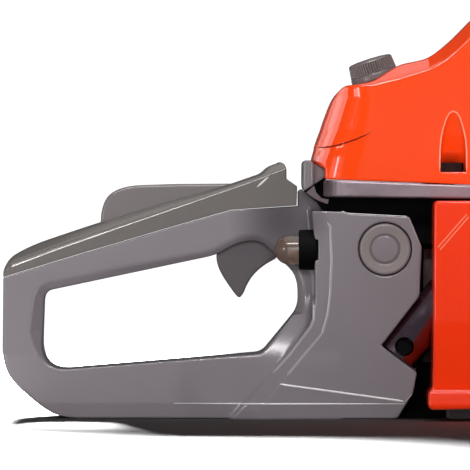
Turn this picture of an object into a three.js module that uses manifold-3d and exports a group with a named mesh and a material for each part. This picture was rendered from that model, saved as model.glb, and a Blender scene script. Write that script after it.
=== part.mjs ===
// Petrol chainsaw, 52 cc class, with an 18 inch guide bar.
// Millimetres, +X forward along the bar, +Y to the operator's left, +Z up.
// Every x below is measured forward from the back of the rear handle; the group at the end moves
// the origin onto the base, under the crankshaft.
import * as THREE from "three";
import { mergeVertices } from "three/addons/utils/BufferGeometryUtils.js";
import Module from "manifold-3d";

const wasm = await Module();
wasm.setup();

// ---------------------------------------------------------------- driving dimensions
const GAP = 0.4; // clearance between pieces that touch
const WALL = 3; // moulded wall
const CURVE_STEPS = 2; // straight steps in a rounded corner
const SIDES = 16; // sides of a round piece

const CRANK = { x: 320, z: 62 }; // crankshaft axis, along Y

const GRIP_HALF = 17; // half width of the grip's top
const GUARD_HALF = 31; // half width of the lower hand guard
const TANK_SIDE = 46; // half width of the fuel tank
const NOTCH_Y = -22; // how deep the front handle's notch goes into the tank

const COVER_HALF = 45; // half width of the top cover
const COVER_BASE_Z = 136.4; // joint between the top cover and the air box base
const ENGINE_HALF = 38; // half width of the crankcase
const CASE_JOINT_Y = 5; // joint between its two halves

const BAR_Y = -45; // middle plane of guide bar and chain
const BAR_THICK = 4.5;
const BAR_TAIL_X = 354;
const BAR_SHOULDER = { x: 384, half: 30 };
const BAR_NOSE = { x: 832, r: 26 }; // centre and radius of the round nose
const CHAIN_HEIGHT = 7.6;
const CHAIN_WIDTH = 4.2;
const DRUM_R = 35;
const CLUTCH_COVER = { outer: -86, inner: -39 };

const TUBE_R = 12; // front handle tube
const TUBE_WALL = 2;
const SLEEVE_R = 15.2; // its rubber sleeve
const TUBE_SLOPE = THREE.MathUtils.degToRad(52);

const STARTER = { inner: 39, outer: 88, rope_x: 294, rope_y: 74 };

// ---------------------------------------------------------------- materials
const finish = (color, roughness, metalness = 0) =>
  new THREE.MeshStandardMaterial({ color, roughness, metalness });
const GREY = finish(0x847d84, 0.42);
const COVER_GREY = finish(0x6f6b68, 0.45);
const CAP_GREY = finish(0x665e60, 0.5);
const ORANGE = finish(0xfe4a17, 0.25);
const BLACK = finish(0x141213, 0.6);
const RUBBER = finish(0x1a1818, 0.85);
const CAST = finish(0x9d949a, 0.5, 0.6);
const STEEL = finish(0xb4b2b0, 0.32, 1);
const DARK_STEEL = finish(0x55504e, 0.45, 1);
const CHROME = finish(0xd8cfd4, 0.12, 1);
const AMBER = finish(0x9c7f72, 0.2);
const FELT = finish(0xd9d2bc, 0.95);
const BRASS = finish(0xb08d4a, 0.4, 1);
const RED = finish(0xb5261c, 0.4);
const CERAMIC = finish(0xf1efe9, 0.2);

// ---------------------------------------------------------------- geometry helpers
// A closed geometry as a manifold-3d solid.
function solidOf(geometry) {
  const bare = geometry.index ? geometry.toNonIndexed() : geometry.clone();
  Object.keys(bare.attributes).forEach((name) => name !== "position" && bare.deleteAttribute(name));
  const merged = mergeVertices(bare, 1e-4);
  const vertProperties = merged.attributes.position.array;
  const triVerts = new Uint32Array(merged.index.array);
  return new wasm.Manifold(new wasm.Mesh({ numProp: 3, vertProperties, triVerts }));
}

// A solid's vertices and triangles as a geometry for a mesh.
function geometryOf(solid) {
  const { vertProperties, triVerts } = solid.getMesh();
  const geometry = new THREE.BufferGeometry();
  geometry.setAttribute("position", new THREE.BufferAttribute(vertProperties, 3));
  geometry.setIndex(new THREE.BufferAttribute(triVerts, 1));
  return geometry;
}

const join = (...solids) => solids.reduce((whole, next) => whole.add(next));
const cut = (solid, ...tools) => tools.reduce((left, tool) => left.subtract(tool), solid);
const common = (...solids) => solids.reduce((left, next) => left.intersect(next));

// A closed path through corners [a, b, cut]. A corner with a cut is rounded off from that far
// before it to that far after it.
function closedPath(corners, Kind = THREE.Path) {
  const path = new Kind();
  const count = corners.length;
  corners.forEach(([a, b, size = 0], i) => {
    const corner = new THREE.Vector2(a, b);
    const back = new THREE.Vector2(...corners[(i + count - 1) % count].slice(0, 2)).sub(corner);
    const ahead = new THREE.Vector2(...corners[(i + 1) % count].slice(0, 2)).sub(corner);
    const start = corner.clone().add(back.setLength(Math.min(size, back.length() * 0.49)));
    const end = corner.clone().add(ahead.setLength(Math.min(size, ahead.length() * 0.49)));
    if (i) path.lineTo(start.x, start.y);
    else path.moveTo(start.x, start.y);
    if (size) path.quadraticCurveTo(a, b, end.x, end.y);
  });
  path.closePath();
  return path;
}

function extruded(corners, depth, { holes = [], chamfer = 0 } = {}) {
  const shape = closedPath(corners, THREE.Shape);
  shape.holes = holes.map((hole) => closedPath(hole));
  const geometry = new THREE.ExtrudeGeometry(shape, {
    depth: depth - 2 * chamfer,
    curveSegments: CURVE_STEPS,
    bevelEnabled: chamfer > 0,
    bevelThickness: chamfer,
    bevelSize: chamfer,
    bevelOffset: -chamfer,
    bevelSegments: 1,
  });
  return geometry.translate(0, 0, chamfer);
}

// Side outline (x, z) through the width from y0 to y1.
const slab = (corners, y0, y1, options) =>
  solidOf(extruded(corners, y1 - y0, options).rotateX(Math.PI / 2).translate(0, y1, 0));

// Plan outline (x, y) through the height from z0 to z1.
const layer = (corners, z0, z1, options) =>
  solidOf(extruded(corners, z1 - z0, options).translate(0, 0, z0));

// End outline (y, z) along the length from x0 to x1.
function prism(corners, x0, x1, options) {
  const turn = new THREE.Matrix4().makeBasis(
    new THREE.Vector3(0, 1, 0), new THREE.Vector3(0, 0, 1), new THREE.Vector3(1, 0, 0));
  return solidOf(extruded(corners, x1 - x0, options).applyMatrix4(turn).translate(x0, 0, 0));
}

function box(x0, x1, y0, y1, z0, z1) {
  const block = new THREE.BoxGeometry(x1 - x0, y1 - y0, z1 - z0);
  return solidOf(block.translate((x0 + x1) / 2, (y0 + y1) / 2, (z0 + z1) / 2));
}

// Turns a geometry whose axis is +Y so that it starts at from and points at to.
function aim(geometry, from, to) {
  const direction = new THREE.Vector3(...to).sub(new THREE.Vector3(...from)).normalize();
  const turn = new THREE.Quaternion().setFromUnitVectors(new THREE.Vector3(0, 1, 0), direction);
  return geometry.applyQuaternion(turn).translate(...from);
}

// A round bar from one point to another, which may taper.
function rod(from, to, r, sides = SIDES, endRadius = r) {
  const length = new THREE.Vector3(...from).distanceTo(new THREE.Vector3(...to));
  const cylinder = new THREE.CylinderGeometry(endRadius, r, length, sides).translate(0, length / 2, 0);
  return solidOf(aim(cylinder, from, to));
}

const rodY = (x, z, y0, y1, r, sides) => rod([x, y0, z], [x, y1, z], r, sides);

// A turned piece, from a profile of [radius, height] pairs that starts and ends on the axis. It
// stands at from and points at to.
function turned(profile, from, to, sides = SIDES) {
  const points = profile.map(([r, h]) => new THREE.Vector2(r, h));
  return solidOf(aim(new THREE.LatheGeometry(points, sides), from, to));
}

// A ring of tooth tips and roots, for gears and knurled rims, as an outline.
function toothed(count, tip, root, share = 0.5) {
  const corners = [];
  for (let i = 0; i < count * 4; i += 1) {
    const step = Math.floor(i / 4) + [0, share * 0.6, share, share * 1.6][i % 4];
    const angle = (step / count) * 2 * Math.PI;
    const r = i % 4 < 2 ? tip : root;
    corners.push([r * Math.cos(angle), r * Math.sin(angle)]);
  }
  return corners;
}

const shifted = (corners, dx, dz) => corners.map(([a, b, size]) => [a + dx, b + dz, size]);
const mirrored = (corners) => [...corners, ...corners.map(([y, z, size]) => [-y, z, size]).reverse()];

// A solid swept along a smooth curve.
function swept(curve, r, sides, steps) {
  const section = new THREE.Shape();
  for (let i = 0; i < sides; i += 1) {
    const angle = (i / sides) * 2 * Math.PI;
    const point = [r * Math.cos(angle), r * Math.sin(angle)];
    if (i) section.lineTo(...point);
    else section.moveTo(...point);
  }
  section.closePath();
  return solidOf(new THREE.ExtrudeGeometry(section, { extrudePath: curve, steps, bevelEnabled: false }));
}

// ---------------------------------------------------------------- the saw
const saw = new THREE.Group();

function add(name, solid, material) {
  const mesh = new THREE.Mesh(geometryOf(solid), material);
  mesh.name = name;
  saw.add(mesh);
  return solid;
}

// ------------------------------------------------ path of the front handle's tube
const tubeStart = new THREE.Vector3(226, -36, 36);
const along = (length) => new THREE.Vector3(
  tubeStart.x + length * Math.cos(TUBE_SLOPE), tubeStart.y, tubeStart.z + length * Math.sin(TUBE_SLOPE));
const handlePath = new THREE.CatmullRomCurve3([
  tubeStart, along(22), along(44), along(66),
  new THREE.Vector3(282, -42, 106), new THREE.Vector3(296, -58, 130),
  new THREE.Vector3(312, -68, 160), new THREE.Vector3(330, -69, 205), new THREE.Vector3(343, -62, 243),
  new THREE.Vector3(352, -40, 268), new THREE.Vector3(355, -8, 275), new THREE.Vector3(355, 50, 275),
  new THREE.Vector3(352, 92, 266), new THREE.Vector3(344, 115, 242), new THREE.Vector3(333, 122, 210),
  new THREE.Vector3(303, 123, 140), new THREE.Vector3(275, 121, 78), new THREE.Vector3(258, 112, 40),
  new THREE.Vector3(249, 92, 20), new THREE.Vector3(246, 70, 16), new THREE.Vector3(245, 47.2, 16),
], false, "centripetal");
const TUBE_STEPS = 32;
const TUBE_SIDES = 10;
const tubeOf = (r) => swept(handlePath, r, TUBE_SIDES, TUBE_STEPS);

// ------------------------------------------------ rear handle, fuel tank and grip
const SEAM = [[168.4, 121.5], [148, 120.2], [130.5, 119], [93.5, 108.5], [65, 100], [46, 94.5], [0, 80.5]];

const LOOP = [
  ...SEAM.slice().reverse(),
  [169.4, 121.5], [169.4, 129.4], [174, 129], [181, 123.4], [184, 117], [192, 117], [192, 0],
  [34, 0, 8], [24.5, 4.5, 6], [6.5, 20, 6], [0, 31.5, 6],
];
const HAND_OPENING = [
  [23.5, 72.5, 5], [121.5, 93], [128, 97], [135.5, 100.5], [143.5, 101.5], [150, 100], [160, 90.5, 4],
  [169, 81, 5], [168.8, 62.5, 4], [146, 36, 5], [33, 27.5, 8], [22, 38, 4],
];
const LOOP_END = mirrored([
  [-GRIP_HALF + 3, 150], [-GRIP_HALF, 132], [-GRIP_HALF - 1.5, 84], [-GUARD_HALF, 40],
  [-GUARD_HALF - 1, 8], [-GUARD_HALF + 4, 0],
]);
const TANK = [
  [178, 0], [178, 44], [181.5, 117, 3], [233, 116.5, 4], [239.5, 98.5, 3], [238, 69.5], [237, 28],
  [234.5, 8, 3], [227, 0, 3],
];
const TANK_NOTCHED = [
  [178, 0], [178, 44], [181.5, 117, 3], [233, 116.5, 4], [239.5, 98.5, 3], [238, 69.5], [216.4, 42],
  [234.4, 28.4], [234.4, 11.5, 3], [226.5, 0, 3],
];
const MOUNT_AXIS = { x: 218.5, z: 97 }; // vibration mount in the tank's side
const CAP_R = 15.4;
const GRIP_HOLLOW = [[104, 92], [104, 125], [164, 150], [164, 104], [150, 103.4], [134, 103.4], [118, 97]];
const TRIGGER_SLOT_HALF = 8.2;
const FILLER = { x: 207, z: 56, r: 13 };
const PRIMER = { y: -32.5, z: 96.5, r: 11.6, face: 180, height: 10.6 };
const SWITCH = { y: 32, z: 96 };

const primerAt = (x) => [x, PRIMER.y, PRIMER.z];
const neckFill = slab([[160, 0], [178.4, 0], [182, 117], [169.4, 117], [160, 92]], -34, 34, { chamfer: 6 });
const tankBody = join(
  slab(TANK_NOTCHED, -TANK_SIDE, NOTCH_Y + 2, { chamfer: 2 }),
  slab(TANK, NOTCH_Y, TANK_SIDE, { chamfer: 2 }),
);
const handleFoot = box(228, 252, 28, 46.5, 2, 30);
const fuelHollow = slab([[187, 12], [187, 78], [232, 78], [230, 12]], -19, TANK_SIDE - WALL);
const loopBody = cut(
  common(slab(LOOP, -40, 40), prism(LOOP_END, -1, 200)),
  slab(HAND_OPENING, -50, 50),
);
const rearHandle = cut(
  join(loopBody, cut(neckFill, slab(HAND_OPENING, -50, 50)), tankBody, handleFoot),
  fuelHollow,
  slab(GRIP_HOLLOW, -13, 13),
  slab([[118, 80], [118, 108], [157, 108], [157, 80]], -TRIGGER_SLOT_HALF, TRIGGER_SLOT_HALF),
  tubeOf(TUBE_R + 1),
  rodY(MOUNT_AXIS.x, MOUNT_AXIS.z, -60, -12, CAP_R + GAP),
  rodY(MOUNT_AXIS.x, MOUNT_AXIS.z, 12, 60, CAP_R + GAP),
  rodY(FILLER.x, FILLER.z, 30, 60, FILLER.r),
  rod(primerAt(PRIMER.face - PRIMER.height - 12), primerAt(PRIMER.face + GAP), PRIMER.r + GAP),
  box(150, 184.4, SWITCH.y - 6.6, SWITCH.y + 6.6, SWITCH.z - 11, SWITCH.z + 11),
);
add("rear_handle", rearHandle, GREY);

const LOCKOUT_PIVOT = { x: 146, z: 130 };
const COVER_TOP = [
  ...SEAM.map(([x, z]) => [x, z + GAP]),
  [0, 85, 3], [4, 92.5, 4], [17.5, 99.5, 6], [36.5, 106], [55.5, 112.3], [127.5, 133.3], [147, 140, 3],
  [151.5, 145, 3], [160, 147, 3], [162.2, 137], [168.4, 133.3],
];
const COVER_END = mirrored([
  [-GRIP_HALF + 6, 160], [-GRIP_HALF + 6, 146], [-GRIP_HALF, 128], [-GRIP_HALF - 2, 70],
]);
// The cover's top edges are cut back along its own slope.
const coverRidge = [[-5, 70], [-5, 84.5], [36, 98.5], [144, 136], [170, 147], [170, 70]];
const gripCover = cut(
  common(
    slab(COVER_TOP, -30, 30),
    prism(COVER_END, -1, 170),
    join(slab(coverRidge, -30, 30), slab(COVER_TOP, -11.5, 11.5), box(145, 170, -14, 14, 100, 160)),
  ),
  slab([[52, 90], [52, 125], [110, 140], [156, 140], [156, 90]], -9.4, 9.4),
  slab([[104, 90], [104, 116], [128, 127], [160, 130], [160, 90]], -13, 13),
  rodY(LOCKOUT_PIVOT.x, LOCKOUT_PIVOT.z, -10.8, 10.8, 3, 12),
);
add("grip_cover", gripCover, COVER_GREY);

const TRIGGER_PIVOT = { x: 150, z: 110 };
const trigger = join(
  slab([
    [122.5, 93.5, 3], [122.6, 87, 4], [127.5, 77, 5], [134.5, 68.5, 3], [138.5, 74, 3], [145.5, 84.5, 4],
    [154.5, 92.5, 2], [156, 104, 3], [155, 114, 4], [147, 115, 3], [138, 106, 3], [126, 101.6, 2],
  ], -7, 7, { chamfer: 1.2 }),
  rodY(TRIGGER_PIVOT.x, TRIGGER_PIVOT.z, -12.6, 12.6, 3, 12),
);
add("throttle_trigger", trigger, GREY);

const lockout = join(
  slab([
    [56.5, 110, 3], [57.5, 123, 6], [63.5, 132.5, 7], [78, 133.6], [150, 135, 4], [150.5, 126, 3],
    [112, 119], [80, 113.5],
  ], -8.4, 8.4, { chamfer: 1 }),
  rodY(LOCKOUT_PIVOT.x, LOCKOUT_PIVOT.z, -10.4, 10.4, 2.6, 12),
);
add("throttle_lockout", lockout, GREY);

// A round plug closes each vibration mount in the tank's sides.
for (const [side, sign] of [["right", -1], ["left", 1]]) {
  const at = (y) => [MOUNT_AXIS.x, sign * y, MOUNT_AXIS.z];
  const profile = [[0, 0], [CAP_R, 0], [CAP_R, 23.6], [CAP_R - 1.6, 25], [8, 23.6], [8, 22], [0, 22]];
  add(`vibration_cap_${side}`, turned(profile, at(TANK_SIDE - 23.6), at(TANK_SIDE)), CAP_GREY);
}

add("fuel_cap", cut(
  join(
    rodY(FILLER.x, FILLER.z, TANK_SIDE + 2.4, TANK_SIDE + 13, 18),
    rodY(FILLER.x, FILLER.z, TANK_SIDE - 8, TANK_SIDE + 3, FILLER.r - 2.6),
  ),
  box(FILLER.x - 3, FILLER.x + 3, TANK_SIDE + 8, TANK_SIDE + 20, FILLER.z - 30, FILLER.z - 6),
  box(FILLER.x - 3, FILLER.x + 3, TANK_SIDE + 8, TANK_SIDE + 20, FILLER.z + 6, FILLER.z + 30),
), BLACK);
const sealRing = (x, z, y0, y1, outer, inner) =>
  cut(rodY(x, z, y0, y1, outer), rodY(x, z, y0 - 1, y1 + 1, inner));
const fuelSeal = sealRing(FILLER.x, FILLER.z, TANK_SIDE + GAP, TANK_SIDE + 2, 15.5, FILLER.r - 2.2);
add("fuel_cap_seal", fuelSeal, RUBBER);

add("primer_base", cut(
  rod(primerAt(PRIMER.face), primerAt(PRIMER.face - PRIMER.height), PRIMER.r),
  rod(primerAt(PRIMER.face - 2), primerAt(PRIMER.face - 20), 9.1),
), BLACK);
add("primer_bulb", turned(
  [[0, 0], [8.6, 0], [8.6, 4.5], [8.3, 8.5], [6.8, 12.4], [4, 15], [0, 16]],
  primerAt(PRIMER.face - 8.8), primerAt(PRIMER.face - 30)), AMBER);

add("stop_switch", slab([
  [175, SWITCH.z - 9], [171.5, SWITCH.z - 4], [171.5, SWITCH.z + 4], [175, SWITCH.z + 9],
  [178.5, SWITCH.z + 8], [181.5, SWITCH.z], [178.5, SWITCH.z - 8],
], SWITCH.y - 6, SWITCH.y + 6), RED);

// ------------------------------------------------ front handle
const HANDLE_SCREW = { x: 229.5, z: 41.5, r: 5.4 };
const tubeEnd = (point, next) => rod(point.toArray(), next.toArray(), TUBE_R - TUBE_WALL, TUBE_SIDES);
add("front_handle", cut(
  tubeOf(TUBE_R),
  tubeOf(TUBE_R - TUBE_WALL),
  tubeEnd(along(2), along(-8)),
  tubeEnd(new THREE.Vector3(245, 49, 16), new THREE.Vector3(245, 40, 16)),
  rodY(HANDLE_SCREW.x, HANDLE_SCREW.z, -60, -38, HANDLE_SCREW.r, 16),
), CHROME);
const handleScrew = rodY(HANDLE_SCREW.x, HANDLE_SCREW.z, -45, -32, HANDLE_SCREW.r - 0.9, 12);
add("front_handle_screw", handleScrew, BLACK);

// The rubber sleeve covers the tube from the right-hand bend to the left leg.
const sleeveZone = box(200, 420, -80, 150, 150, 300);
const sleeveShell = cut(tubeOf(SLEEVE_R), tubeOf(TUBE_R + GAP));
add("front_handle_sleeve", common(sleeveShell, sleeveZone), RUBBER);

// ------------------------------------------------ air box, carburettor and intake
const CHOKE_KNOB = { x: 236, z: 156 };
const AIRBOX_PLAN = [
  [183, -34, 4], [194, -44.5, 6], [268, -44.5, 2], [268, 44.5, 2], [194, 44.5, 6], [183, 34, 4],
];
add("airbox_base", cut(layer(AIRBOX_PLAN, 126.4, 136), box(196, 262, -36, 36, 129.5, 140)), CAST);
add("airbox_rear", cut(
  layer([[171, -24, 8], [183.6, -32], [187, -32], [187, 32], [183.6, 32], [171, 24, 8]], 130, 149),
  box(174, 200, -22, 22, 132.4, 160),
  box(182.6, 200, -60, 60, 120, 136.8),
), GREY);
// The partition closes the gap between the tank and the engine, behind the front handle's tube.
const PARTITION = [
  [187, 118], [234.6, 118], [241, 100], [241, 97.2], [252, 97.2], [252, 118], [266, 118], [266, 126],
  [187, 126],
];
add("intake_partition", join(
  slab(PARTITION, -30, 36),
  box(241, 252, -17.6, 36, 32, 98),
), BLACK);
add("linkage_plate", slab([
  [173.5, 129.2], [178.2, 133.2], [179.4, 129.2], [182.4, 126], [186.6, 125.4], [186, 122.6], [180, 124.8],
], -37.5, -34.4), CAST);
const FILTER_PLAN = [[196, -30, 6], [230, -30, 6], [230, 30, 6], [196, 30, 6]];
add("air_filter", layer(FILTER_PLAN, 137, 176, { chamfer: 2 }), FELT);
const THROAT = { z: 154, r: 7.4, choke: 242, throttle: 257 };
const carburettor = cut(
  join(
    box(237, 263, -20, 20, 138, 170),
    box(241, 259, -14, 14, 131, 139),
  ),
  rod([230, 0, THROAT.z], [270, 0, THROAT.z], THROAT.r, 16),
  rodY(THROAT.choke, THROAT.z, -30, 30, 1.9, 10),
  rodY(THROAT.throttle, THROAT.z, -30, 30, 1.9, 10),
);
add("carburettor", carburettor, CAST);
// A butterfly plate on its shaft, with the lever that turns it. The choke's stands open and the
// throttle's stands shut.
function butterfly(x, toward) {
  const middle = new THREE.Vector3(x, 0, THROAT.z);
  const half = toward.clone().multiplyScalar(0.8);
  return join(
    rod(middle.clone().sub(half).toArray(), middle.clone().add(half).toArray(), THROAT.r - 0.6),
    rodY(x, THROAT.z, -23, 23, 1.6, 10),
    box(x - 2, x + 2, -25, -23, THROAT.z - 3, THROAT.z + 10),
  );
}
add("choke_plate", butterfly(THROAT.choke, new THREE.Vector3(0, 0, 1)), BRASS);
add("throttle_plate", butterfly(THROAT.throttle, new THREE.Vector3(1, 0, 0)), BRASS);
add("intake_boot", cut(
  rod([263.4, 0, THROAT.z], [281.6, 0, THROAT.z], 16, 20),
  rod([262, 0, THROAT.z], [283, 0, THROAT.z], THROAT.r, 16),
), RUBBER);
add("choke_knob", join(
  rodY(CHOKE_KNOB.x, CHOKE_KNOB.z, 50, 60, 9, 20),
  rodY(CHOKE_KNOB.x, CHOKE_KNOB.z, 22, 51, 2.4, 10),
), BLACK);

// ------------------------------------------------ top cover and its knob
const COVER_SIDE = [
  [183.6, COVER_BASE_Z], [183.6, 142.2], [175.6, 148.6], [178.5, 157.5], [183.5, 171], [188, 180.5],
  [194.5, 190, 3], [211.5, 192.5], [226.5, 202, 3], [243.5, 206, 6], [256, 215.5, 6], [276, 232, 10],
  [296, 239, 8], [318, 236, 8], [340, 220, 8], [354, 196, 8], [360, 166], [361, COVER_BASE_Z],
];
const COVER_FRONT = mirrored([
  [-COVER_HALF, COVER_BASE_Z], [-COVER_HALF, 166, 5], [-COVER_HALF + 4, 192, 6], [-COVER_HALF + 10, 206, 6],
  [-24, 239.5, 8],
]);
const COVER_PLAN = [
  [174, -27, 8], [192, -COVER_HALF, 10], [346, -COVER_HALF, 10], [362, -30, 8], [362, 30, 8],
  [346, COVER_HALF, 10], [192, COVER_HALF, 10], [174, 27, 8],
];
const coverOuter = common(
  slab(COVER_SIDE, -60, 60),
  prism(COVER_FRONT, 160, 380),
  layer(COVER_PLAN, 120, 260),
);
// The hollow inside is the same shape, shrunk towards the middle of the cover's base.
const COVER_MIDDLE = new THREE.Vector3(268, 0, COVER_BASE_Z);
const coverInner = coverOuter
  .translate(COVER_MIDDLE.clone().negate().toArray())
  .scale([0.966, 0.93, 0.96])
  .translate(COVER_MIDDLE.toArray());
const KNOB_TILT = THREE.MathUtils.degToRad(17.5);
const KNOB = { x: 213.8, z: 195.1 };
const knobAt = (height) =>
  [KNOB.x - height * Math.sin(KNOB_TILT), 0, KNOB.z + height * Math.cos(KNOB_TILT)];
const VENT_SLOT = box(250.5, 263.5, -60, 60, 141, 146);
const topCover = cut(
  coverOuter,
  coverInner,
  layer([[186.6, -41], [358, -41], [358, 41], [186.6, 41]], 130, COVER_BASE_Z + 5),
  box(160, 187.6, -33, 33, 130, 149.6),
  rod(knobAt(-3), knobAt(40), 16.4),
  rod(knobAt(-20), knobAt(10), 3.6, 12),
  rodY(CHOKE_KNOB.x, CHOKE_KNOB.z, 30, 60, 3.4, 12),
  box(350, 370, -16, 16, 130, 168),
  VENT_SLOT,
);
add("top_cover", topCover, ORANGE);
add("cover_knob", turned([
  [0, 0], [3, 0], [3, 12], [14, 12], [13.8, 17.4], [12.6, 23], [11.2, 24], [0, 25],
], knobAt(-14.4), knobAt(20)), CAP_GREY);

// ------------------------------------------------ crankcase and cylinder
const CASE = [
  [254, 0, 2], [254, 8], [262, 30], [262, 104, 4], [272, 112], [378, 112, 6], [404, 98, 6], [410, 60, 6],
  [410, 14, 4], [400, 0, 4],
];
const crankChamber = join(
  rodY(CRANK.x, CRANK.z, -26, 26, 37),
  rod([CRANK.x, 0, CRANK.z], [CRANK.x, 0, 120], 24.4),
  rodY(CRANK.x, CRANK.z, -60, 60, 6 + GAP, 16),
);
const oilHollow = join(
  slab([[366, 8], [366, 50], [402, 56], [402, 12], [396, 8]], -28, 32),
  slab([[380, 30], [400, 30], [400, 12], [380, 12]], 20, 28),
);
const rearPocket = slab([
  [258, 4], [266, 30], [266, 106], [274, 106], [279, 70], [279, 50], [286, 20], [340, 20], [356, 4],
], -34, 34);
const OIL_FILLER = { x: 394, z: 28, r: 9 };
const oilFillerBoss = box(368, 410, 37, 46, 14, 44);
const CATCHER = [[384, 1.4], [404, 1.4, 3], [404, 12, 3], [390, 14, 2], [384, 8]];
const caseBody = join(
  slab(CASE, -ENGINE_HALF, ENGINE_HALF, { chamfer: 1.5 }),
  oilFillerBoss,
  slab(CATCHER, -56, -ENGINE_HALF + 1),
  box(241, 263, -22, -18, 32, 96.8),
);
const caseWhole = cut(
  caseBody, crankChamber, oilHollow, rearPocket, tubeOf(TUBE_R + 1),
  rodY(OIL_FILLER.x, OIL_FILLER.z, 30, 60, OIL_FILLER.r),
);
const rightZone = box(200, 450, -100, CASE_JOINT_Y - GAP / 2, -1, 130);
const leftZone = box(200, 450, CASE_JOINT_Y + GAP / 2, 100, -1, 130);
add("crankcase_right", common(caseWhole, rightZone), CAST);
add("crankcase_left", common(caseWhole, leftZone), CAST);

add("oil_cap", cut(
  join(
    rodY(OIL_FILLER.x, OIL_FILLER.z, 48.4, 57, 14),
    rodY(OIL_FILLER.x, OIL_FILLER.z, 40, 49, OIL_FILLER.r - 1.6),
  ),
  box(OIL_FILLER.x - 2.5, OIL_FILLER.x + 2.5, 53, 60, OIL_FILLER.z - 20, OIL_FILLER.z - 5),
  box(OIL_FILLER.x - 2.5, OIL_FILLER.x + 2.5, 53, 60, OIL_FILLER.z + 5, OIL_FILLER.z + 20),
), BLACK);
add("oil_cap_seal", sealRing(OIL_FILLER.x, OIL_FILLER.z, 46 + GAP, 48, 12, OIL_FILLER.r - 1.2), RUBBER);

const FIN_HALF = 32;
const FIN_PITCH = 12;
const finBlock = (z0, z1) => box(CRANK.x - FIN_HALF, CRANK.x + FIN_HALF, -34, 34, z0, z1);
const fins = Array.from({ length: 5 }, (_, i) => finBlock(127 + i * FIN_PITCH, 129.4 + i * FIN_PITCH));
add("cylinder", cut(
  join(
    rod([CRANK.x, 0, 112.4], [CRANK.x, 0, 190], 27),
    finBlock(112.4, 116),
    ...fins,
    rod([282, 0, THROAT.z], [CRANK.x, 0, THROAT.z], 14, 16),
    rod([CRANK.x, 0, 152], [361.6, 0, 152], 14, 16),
  ),
  tubeOf(TUBE_R + 1),
  rod([CRANK.x, 0, 100], [CRANK.x, 0, 178], 22.6),
  rod([270, 0, THROAT.z], [CRANK.x, 0, THROAT.z], 10.5, 16),
  rod([CRANK.x, 0, 152], [380, 0, 152], 10.5, 16),
  rod([CRANK.x, 0, 170], [CRANK.x, 0, 200], 6.6, 16),
), CAST);
const plugAt = (z) => [CRANK.x, 0, z];
add("spark_plug", turned(
  [
    [0, 0], [6.2, 0], [6.2, 12.6], [8.8, 12.6], [8.8, 17], [5, 17], [4.4, 30], [2.6, 30], [2.6, 36], [0, 36],
  ],
  plugAt(178), plugAt(220)), CERAMIC);
add("spark_plug_boot", cut(
  join(rod(plugAt(199), plugAt(219.4), 8.2, 16), rod([CRANK.x, 0, 212], [CRANK.x, 24, 208], 4.4, 12)),
  rod(plugAt(190), plugAt(215), 5.6, 16),
), RUBBER);

// Piston at the top of its stroke, with its rod down to the crankpin.
const THROW = 16;
const PISTON_TOP = 174;
const PIN_Z = CRANK.z + THROW;
add("piston", cut(
  rod(plugAt(PISTON_TOP - 38), plugAt(PISTON_TOP), 22.2),
  rod(plugAt(PISTON_TOP - 50), plugAt(PISTON_TOP - 5), 18.6),
  rodY(CRANK.x, PISTON_TOP - 20, -30, 30, 5.4, 16),
), CAST);
add("piston_pin", rodY(CRANK.x, PISTON_TOP - 20, -20, 20, 5, 16), STEEL);
add("connecting_rod", cut(
  join(
    rodY(CRANK.x, PISTON_TOP - 20, -5, 5, 8.6, 20),
    rodY(CRANK.x, PIN_Z, -4.6, 4.6, 11.4, 20),
    box(CRANK.x - 4.5, CRANK.x + 4.5, -3.5, 3.5, PIN_Z, PISTON_TOP - 20),
  ),
  rodY(CRANK.x, PISTON_TOP - 20, -20, 20, 5.4, 16),
), STEEL);
const webShape = [
  [CRANK.x - 9, PIN_Z + 6, 4], [CRANK.x + 9, PIN_Z + 6, 4], [CRANK.x + 20, CRANK.z, 6],
  [CRANK.x + 27, CRANK.z - 18, 8], [CRANK.x + 12, CRANK.z - 33, 8], [CRANK.x - 12, CRANK.z - 33, 8],
  [CRANK.x - 27, CRANK.z - 18, 8], [CRANK.x - 20, CRANK.z, 6],
];
for (const [side, webStart, shaftStart, shaftEnd] of [["right", -15, -76, -14], ["left", 5, 14, 68]]) {
  const shaft = rodY(CRANK.x, CRANK.z, shaftStart, shaftEnd, 6);
  add(`crankshaft_${side}`, join(shaft, slab(webShape, webStart, webStart + 10)), STEEL);
}

// ------------------------------------------------ muffler
const MUFFLER = [
  [362, 118, 5], [362, 186, 6], [398, 182, 8], [408, 168, 6], [408, 126, 6], [400, 118, 5],
];
add("muffler", cut(
  slab(MUFFLER, -32, 34, { chamfer: 2.5 }),
  slab([[365, 122], [365, 180], [396, 178], [404, 166], [404, 126]], -28, 30),
  rod([350, 0, 152], [370, 0, 152], 10.5, 16),
  box(395, 420, -20, 0, 140, 152),
), DARK_STEEL);

// ------------------------------------------------ clutch, drum and brake
add("clutch_hub", join(
  cut(rodY(CRANK.x, CRANK.z, -74, -60, 12), rodY(CRANK.x, CRANK.z, -90, -50, 6 + GAP, 16)),
  ...[0, 1, 2].map((i) => {
    const turn = (i * 2 * Math.PI) / 3;
    const shoe = cut(
      slab([[8, -22], [31, -14], [31, 14], [8, 22]], -73, -61),
      rodY(0, 0, -80, -50, 9),
    );
    const round = common(shoe, rodY(0, 0, -80, -50, 31, 24));
    return round.rotate([0, (turn * 180) / Math.PI, 0]).translate([CRANK.x, 0, CRANK.z]);
  }),
), DARK_STEEL);
add("clutch_drum", cut(
  join(
    rodY(CRANK.x, CRANK.z, -76, -54, DRUM_R, 24),
    rodY(CRANK.x, CRANK.z, -55, -49, 14),
    slab(shifted(toothed(7, 16.6, 12.5), CRANK.x, CRANK.z), -50, -40.5),
  ),
  rodY(CRANK.x, CRANK.z, -80, -57, DRUM_R - 3, 24),
  rodY(CRANK.x, CRANK.z, -90, -30, 6 + GAP, 16),
), DARK_STEEL);
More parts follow.
